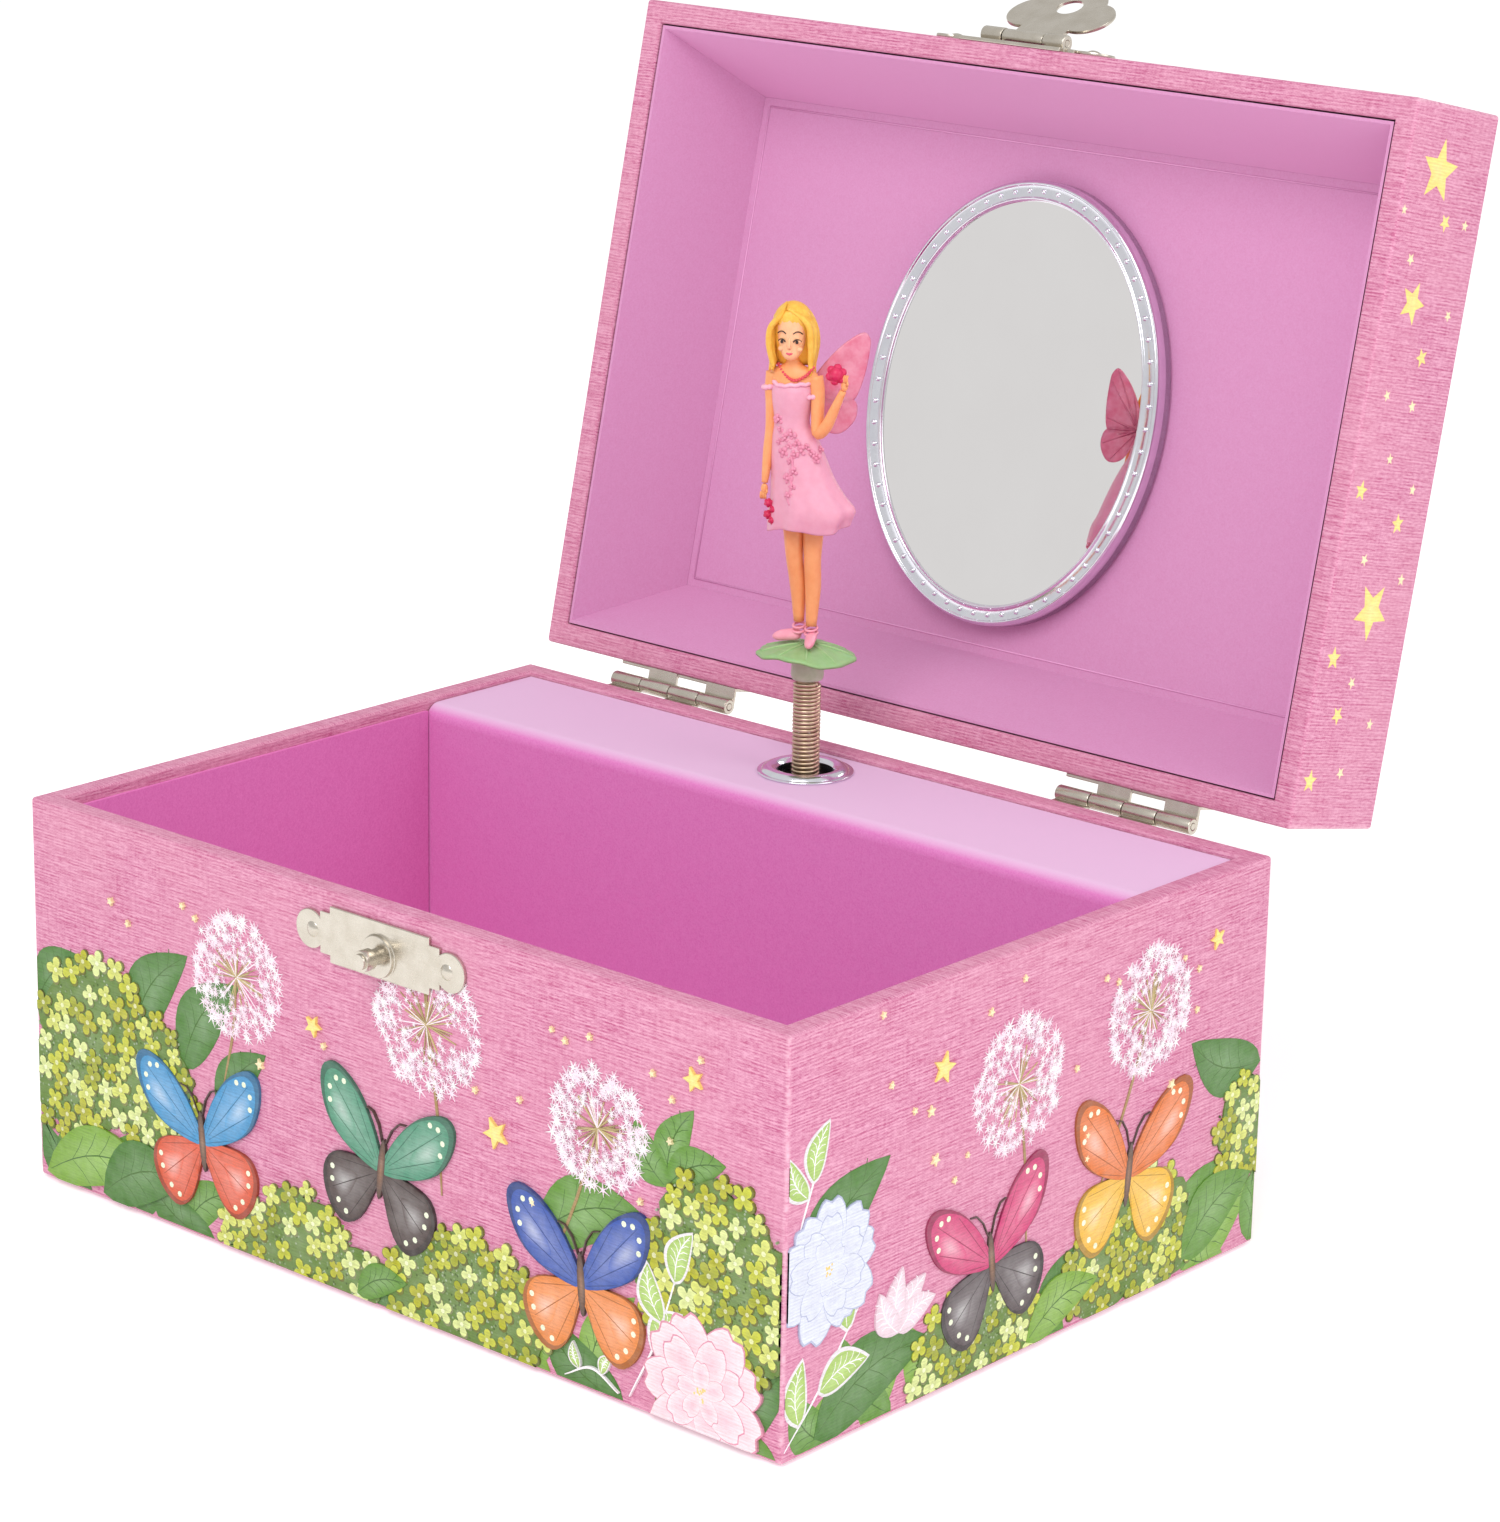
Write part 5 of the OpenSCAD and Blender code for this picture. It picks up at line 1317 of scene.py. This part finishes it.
def doll_shoes():
    """Two slippers, each with two bands round the ankle."""
    bm = bmesh.new()
    sole = [0.92, 0.9, 0.86, 0.8, 0.7, 0.52, 0.25]
    shoes = (
        (at(-1.4, 1.0, -0.3), at(-5.4, 0.6, -0.9), Vector((0.3, 0, 0.4)), [0.98, 0.98, 0.96, 0.94]),
        (at(0.5, 1.0, -0.2), at(0.0, 0.55, -4.2), Vector((0, 0.3, 0.4)), [1.0, 1.0, 0.98, 0.95]),
    )
    for heel, toe, behind, instep in shoes:
        knots = [heel + behind, (heel + toe) / 2 + Vector((0, 0, 0.25)), toe]
        add_tube(bm, curve_points(knots, 14), [0.5, 0.85, 0.95, *instep, *sole], 14, 0.82)
    for ankle in (at(-1.4, 2.0, -0.25), at(0.45, 1.8, -0.45)):
        for lift, thick in ((0, 0.24), (0.75, 0.2)):
            band = []
            for k in range(21):
                t = tau * k / 20
                band.append(ankle + Vector((0.92 * cos(t), 0.92 * sin(t), 0.25 * sin(t) + lift)))
            add_tube(bm, band, thick, 6)
    place_figure("doll_shoes", bm, SHOE)


HEAD = at(-2.45, 48.0, -2.0)
HEAD_TURN = Matrix.Rotation(radians(14.0), 3, "Z")


def head_point(x, y, z):
    """Point on the head: x to the right as seen from its front, y back from its middle, z above the foot."""
    return HEAD_TURN @ Vector((x, y, 0)) + Vector((HEAD.x, HEAD.y, z))


def face_front(x, z):
    """How far the face stands forward at x and z."""
    half = lerp((1.2, 1.9, 2.3, 2.5, 2.5, 2.4), min(max((z - 44.4) / 6.2, 0), 1))
    deep = lerp((2.3, 2.6, 2.75, 2.78, 2.75, 2.6), min(max((z - 44.4) / 6.2, 0), 1))
    return -deep * sqrt(max(1 - (x / (half + 0.35)) ** 2, 0.05))


# Height, half width, half depth and place from front to back of the head
HEAD_SHAPE = (
    (44.35, 0.3, 0.3, -1.6), (44.55, 0.85, 0.9, -1.45), (45.1, 1.35, 1.5, -1.15), (46.0, 1.8, 2.05, -0.62),
    (47.0, 2.1, 2.45, -0.3), (48.2, 2.3, 2.75, -0.03), (49.5, 2.4, 2.8, 0), (50.8, 2.3, 2.6, 0),
    (52.0, 1.6, 1.9, 0), (52.6, 0.5, 0.6, 0))


def face_line(way, out, knots):
    """Curve on one side of the face through the knots (x, z), a little out from the skin."""
    return curve_points([head_point(x * way, face_front(x, z) - out, z) for x, z in knots], 10)


def doll_head():
    """Head with a nose and cheeks, then painted brows, eyes and lips."""
    bm = bmesh.new()
    rings = []
    for z, half, depth, shift in curve_points(HEAD_SHAPE, 30):
        rings.append([head_point(x, shift + y, z) for x, y in circle(36, half, depth)])
    add_rings(bm, rings)
    bridge = ((48.0, -0.15), (47.2, -0.02), (46.55, 0.2), (46.2, 0.02))
    nose = [head_point(0, face_front(0, z) - out, z) for z, out in bridge]
    add_tube(bm, nose, [0.18, 0.24, 0.32, 0.2], 8)
    for way in (1, -1):
        add_ball(bm, head_point(1.12 * way, face_front(1.12, 47.35) + 0.28, 47.35), 0.62, (1, 0.8, 0.75))
        add_ball(bm, head_point(1.3 * way, face_front(1.3, 46.1) + 0.42, 46.1), 0.6, (1, 0.8, 0.8))
    place_figure("doll_head", bm, SKIN_LIGHT)
    bm = bmesh.new()
    for way in (1, -1):
        brow = face_line(way, 0.02, ((0.55, 48.5), (1.0, 48.82), (1.5, 48.78), (1.9, 48.45)))
        add_tube(bm, brow, 0.085, 6)
        lash = face_line(way, 0.16, ((0.6, 47.3), (0.9, 47.62), (1.3, 47.68), (1.75, 47.35)))
        add_tube(bm, lash, 0.1, 6)
        eye = head_point(1.15 * way, face_front(1.15, 47.3) - 0.2, 47.3)
        add_ball(bm, eye, 0.26, (1, 0.5, 1.1), 8, 10)
    place_figure("doll_eyes", bm, DARK)
    bm = bmesh.new()
    line = ((-0.62, 45.52), (-0.3, 45.5), (0, 45.42), (0.3, 45.5), (0.62, 45.52))
    mouth = [head_point(x, face_front(x, 45.45) + 0.06 - 0.1 * (1 - abs(x)), z) for x, z in line]
    add_limb(bm, mouth, (0.06, 0.2, 0.22, 0.2, 0.06), 12, 8)
    place_figure("doll_lips", bm, LIP)


def doll_hair():
    """Wavy hair: a cap over the crown, then locks from the parting down to the shoulders."""
    bm = bmesh.new()
    cap = ((43.2, 2.4, 1.1, 1.5), (45.0, 2.9, 1.7, 1.1), (47.0, 3.0, 2.3, 0.9), (49.0, 3.0, 2.8, 0.6),
           (50.6, 2.9, 3.0, 0.25), (51.9, 2.2, 2.4, 0.1), (52.7, 1.3, 1.4, 0), (53.0, 0.4, 0.5, 0))
    rings = []
    for z, half, depth, shift in curve_points(cap, 26):
        ring = []
        for k in range(44):
            t = tau * k / 44
            wavy = 1 + 0.035 * sin(16 * t + 2.1 * z)
            ring.append(head_point(half * wavy * cos(t), shift + depth * wavy * sin(t), z))
        rings.append(ring)
    add_rings(bm, rings)
    dice = random.Random(72)
    for way in (1, -1):
        for k in range(11):
            back = k / 10
            start = head_point(-0.7 + 0.15 * way, -2.3 + 3.6 * back, 52.3 + 0.6 * sin(pi * back))
            wide = 2.95 + 0.25 * dice.random()
            y = -1.75 + 3.2 * back
            tip_x = way * (wide - 0.35 + 0.5 * dice.random())
            tip_z = (41.0 if way > 0 else 42.3) + 0.9 * dice.random()
            points = curve_points([
                start,
                head_point(way * 1.75, y - 0.35, 51.5 - 0.7 * (1 - back)),
                head_point(way * wide * 0.97, y + 0.1, 49.2),
                head_point(way * (wide + 0.15), y + 0.35, 46.6),
                head_point(way * (wide - 0.1), y + 0.55, 44.0),
                head_point(tip_x, y + 0.4, tip_z)], 26)
            for i, p in enumerate(points):
                t = i / 25
                p.x += 0.2 * t * sin(9 * t + k)
                p.y += 0.16 * t * cos(8 * t + 1.7 * k)
            thick = [0.52 * lerp((0.4, 0.9, 1.0, 1.05, 0.95, 0.35), i / 25) for i in range(26)]
            add_tube(bm, points, thick, 8)
    place_figure("doll_hair", bm, HAIR)


def small_rose(bm, centre, r, ahead):
    """Bud of curled petals round a core."""
    add_ball(bm, centre, r * 0.72)
    ahead = ahead.normalized()
    side, up = across(ahead)
    for ring, count in ((0.34, 3), (0.62, 6)):
        for k in range(count):
            a = tau * (k + ring) / count
            out = side * cos(a) + up * sin(a)
            add_ball(bm, centre + out * r * ring - ahead * r * 0.15, r * 0.46, (0.9, 0.9, 0.9), 8, 10)


def doll_trims():
    """Rose in the raised hand, small roses in the other, and a string of beads."""
    bm = bmesh.new()
    small_rose(bm, at(3.95, 43.1, -4.3), 1.6, Vector((0.4, -0.9, 0.2)))
    for r, z in ((-6.1, 22.2), (-5.3, 21.3), (-6.2, 20.4), (-5.5, 19.6)):
        small_rose(bm, at(r, z, -4.1), 0.72, Vector((0.2, -1, 0)))
    place_figure("doll_roses", bm, ROSE)
    bm = bmesh.new()
    knots = [at(-4.6, 43.3, -2.3), at(-3.6, 42.0, -3.3), at(-2.3, 41.35, -3.75), at(-0.6, 42.1, -3.4),
             at(0.6, 43.3, -2.3)]
    for bead in curve_points(knots, 17):
        add_ball(bm, bead, 0.27, rings=6, sides=8)
    place_figure("doll_necklace", bm, BEADS)


def wing_sheet(bm, outline, way):
    """Thin rounded wing over an outline of (distance from the root, height)."""
    def point(s, z, out):
        wide = 0.93 if way > 0 else 0.72
        return Vector((-1.6 + way * (0.6 + wide * s - 0.5 * out), 0.6 + 0.5 * s + 0.85 * out, z))
    curve = rounded(outline, 44)
    cx = sum(p[0] for p in curve) / len(curve)
    cz = sum(p[1] for p in curve) / len(curve)
    rings = []
    for size, out in ((0.15, 0.42), (0.55, 0.30), (0.9, 0.24), (0.985, 0.16), (1.0, 0.0), (0.985, -0.16),
                      (0.9, -0.24), (0.55, -0.18), (0.15, -0.1)):
        rings.append([point(cx + (s - cx) * size, cz + (z - cz) * size, out) for s, z in curve])
    add_rings(bm, rings)
    for k in range(0, 44, 7):
        s, z = curve[k]
        vein = [point(0.4 + (s - 0.4) * t, 38.6 + (z - 38.6) * t, 0.42 - 0.12 * t)
                for t in (0.1, 0.3, 0.5, 0.7, 0.93)]
        add_tube(bm, vein, [0.2, 0.18, 0.15, 0.12, 0.08], 6)


def doll_wings():
    bm = bmesh.new()
    for way in (1, -1):
        wing_sheet(bm, ((0, 39.5), (1.5, 42.5), (4.5, 46), (7.4, 48), (8.5, 47.3), (8.6, 45.5), (7.8, 41),
                        (6.4, 37.6), (4, 37.2), (1.5, 38)), way)
        wing_sheet(bm, ((0, 38.5), (2.5, 38.7), (5.5, 38.3), (6.9, 37), (6.6, 34.5), (4.5, 32.5), (2, 33.2),
                        (0.6, 36)), way)
    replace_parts(place_figure("doll_wings", bm, WINGS), "fairy_wings")


# ---------- Kept CAD pieces ----------

LOOKS = {
    NICKEL: ("hinge_left_base_leaf", "hinge_right_base_leaf", "hinge_left_lid_leaf", "hinge_right_lid_leaf",
             "hinge_pins", "hinge_base_nails", "hinge_lid_nails", "hasp_flap", "hasp_plate", "hasp_pin",
             "hasp_nails", "catch_plate", "catch_knob", "catch_nails", "winding_key"),
    CHROME: ("grommet",),
    WIRE: ("spring_ferrule",),
    GLASS: ("mirror_glass",),
    FOAM: ("mirror_pad",),
    BOARD: ("floor_board", "front_wall", "back_wall", "left_wall", "right_wall", "cover_board",
            "lid_top_board", "lid_front_wall", "lid_back_wall", "lid_left_wall", "lid_right_wall"),
    UNDERSIDE: ("underside_paper",),
    LINING: ("side_lining", "floor_lining"),
    TOP_LIT_LINING: ("cover_lining",),
    UNDER_LIT_LID_LINING: ("lid_side_lining", "lid_panel_lining"),
    STEEL: ("comb", "comb_screws", "mainspring", "movement_screws", "drive_spindle", "cylinder_arbor",
            "winding_arbor", "governor_worm", "mainspring_housing"),
    BRASS: ("crown_wheel", "cylinder_gear", "governor_wheel", "great_wheel", "music_cylinder"),
    PLATE: ("bedplate", "governor_frame"),
    NYLON: ("governor_fan",),
}


def dress_cad():
    """Materials on the CAD pieces that are shown, and softened edges on the metal ones."""
    soft = {NICKEL: 0.14, STEEL: 0.08, BRASS: 0.06, PLATE: 0.2}
    for material, names in LOOKS.items():
        for name in names:
            piece = frame["nodes"][name]
            piece.data.materials.clear()
            piece.data.materials.append(material)
            if material in soft and name != "music_cylinder":
                weld = piece.modifiers.new("weld", "WELD")
                weld.merge_threshold = 0.002 * MM
                bevel = piece.modifiers.new("soft_edges", "BEVEL")
                bevel.width = soft[material] * MM
                bevel.segments = 2
                bevel.limit_method = "ANGLE"
                bevel.angle_limit = radians(40)


# ---------- Camera and light ----------


# Camera in metres: its place, and the directions of its right, up and back
CAMERA_AT = (0.4293, -0.4676, 0.2587)
CAMERA_RIGHT = (0.749472, 0.661814, 0.017166)
CAMERA_UP = (-0.200327, 0.201994, 0.958680)
CAMERA_BACK = (0.631000, -0.721943, 0.283968)
LENS_MM = 106.81


def add_camera():
    data = bpy.data.cameras.new("camera")
    data.lens = LENS_MM
    data.sensor_width = 36
    data.clip_start = 0.01
    camera = bpy.data.objects.new("camera", data)
    bpy.context.scene.collection.objects.link(camera)
    turn = Matrix((CAMERA_RIGHT, CAMERA_UP, CAMERA_BACK)).transposed()
    camera.matrix_world = Matrix.Translation(CAMERA_AT) @ turn.to_4x4()
    bpy.context.scene.camera = camera


def add_area(name, place_at, aim, size, power):
    """Round soft light, in metres and watts, turned to its aim."""
    data = bpy.data.lights.new(name, "AREA")
    data.shape = "DISK"
    data.size = size
    data.energy = power
    lamp = bpy.data.objects.new(name, data)
    bpy.context.scene.collection.objects.link(lamp)
    lamp.location = place_at
    lamp.rotation_euler = (Vector(aim) - Vector(place_at)).to_track_quat("-Z", "Y").to_euler()


def add_studio():
    """White surroundings, two soft lights and a pale floor just under the object."""
    world = bpy.data.worlds.new("studio")
    bpy.context.scene.world = world
    world.use_nodes = True
    sky = world.node_tree.nodes["Background"]
    sky.inputs["Color"].default_value = (1.0, 1.0, 1.0, 1.0)
    sky.inputs["Strength"].default_value = 0.74
    add_area("key_light", (0.35, -0.9, 1.1), (0, 0, 0.06), 0.9, 9.5)
    add_area("fill_light", (1.1, 0.2, 0.7), (0, 0, 0.06), 0.9, 3.6)
    bm = bmesh.new()
    bmesh.ops.create_grid(bm, x_segments=1, y_segments=1, size=3000)
    floor_paint = Paint("studio_floor", Roughness=0.9, Specular_IOR_Level=0.1)
    _, spot = floor_paint.spot()
    tone = floor_paint.mix(floor_paint.noise(spot, 0.01, 2.0), (0.93, 0.93, 0.93, 1), (0.97, 0.97, 0.97, 1))
    floor_paint.set("Base Color", tone)
    floor_paint.shader.inputs["Emission Color"].default_value = (1.0, 1.0, 1.0, 1.0)
    floor_paint.shader.inputs["Emission Strength"].default_value = 0.3
    floor = bpy.data.objects.new("floor", finish_mesh(bm, "floor", floor_paint.material, False))
    bpy.context.scene.collection.objects.link(floor)
    floor.location.z = -0.0002
    bpy.context.scene.view_settings.view_transform = "Standard"


# ---------- Build ----------

base_paper()
lid_paper()
draw_front()
draw_right()
draw_plain_side("left_picture", "left", 81)
draw_plain_side("back_picture", "back", 91)
draw_lid()
mirror_ring()
lining_folds()
spring_coils()
lily_pad()
doll_dress()
doll_flowers()
doll_body()
doll_shoes()
doll_head()
doll_hair()
doll_trims()
doll_wings()
dress_cad()
add_camera()
add_studio()
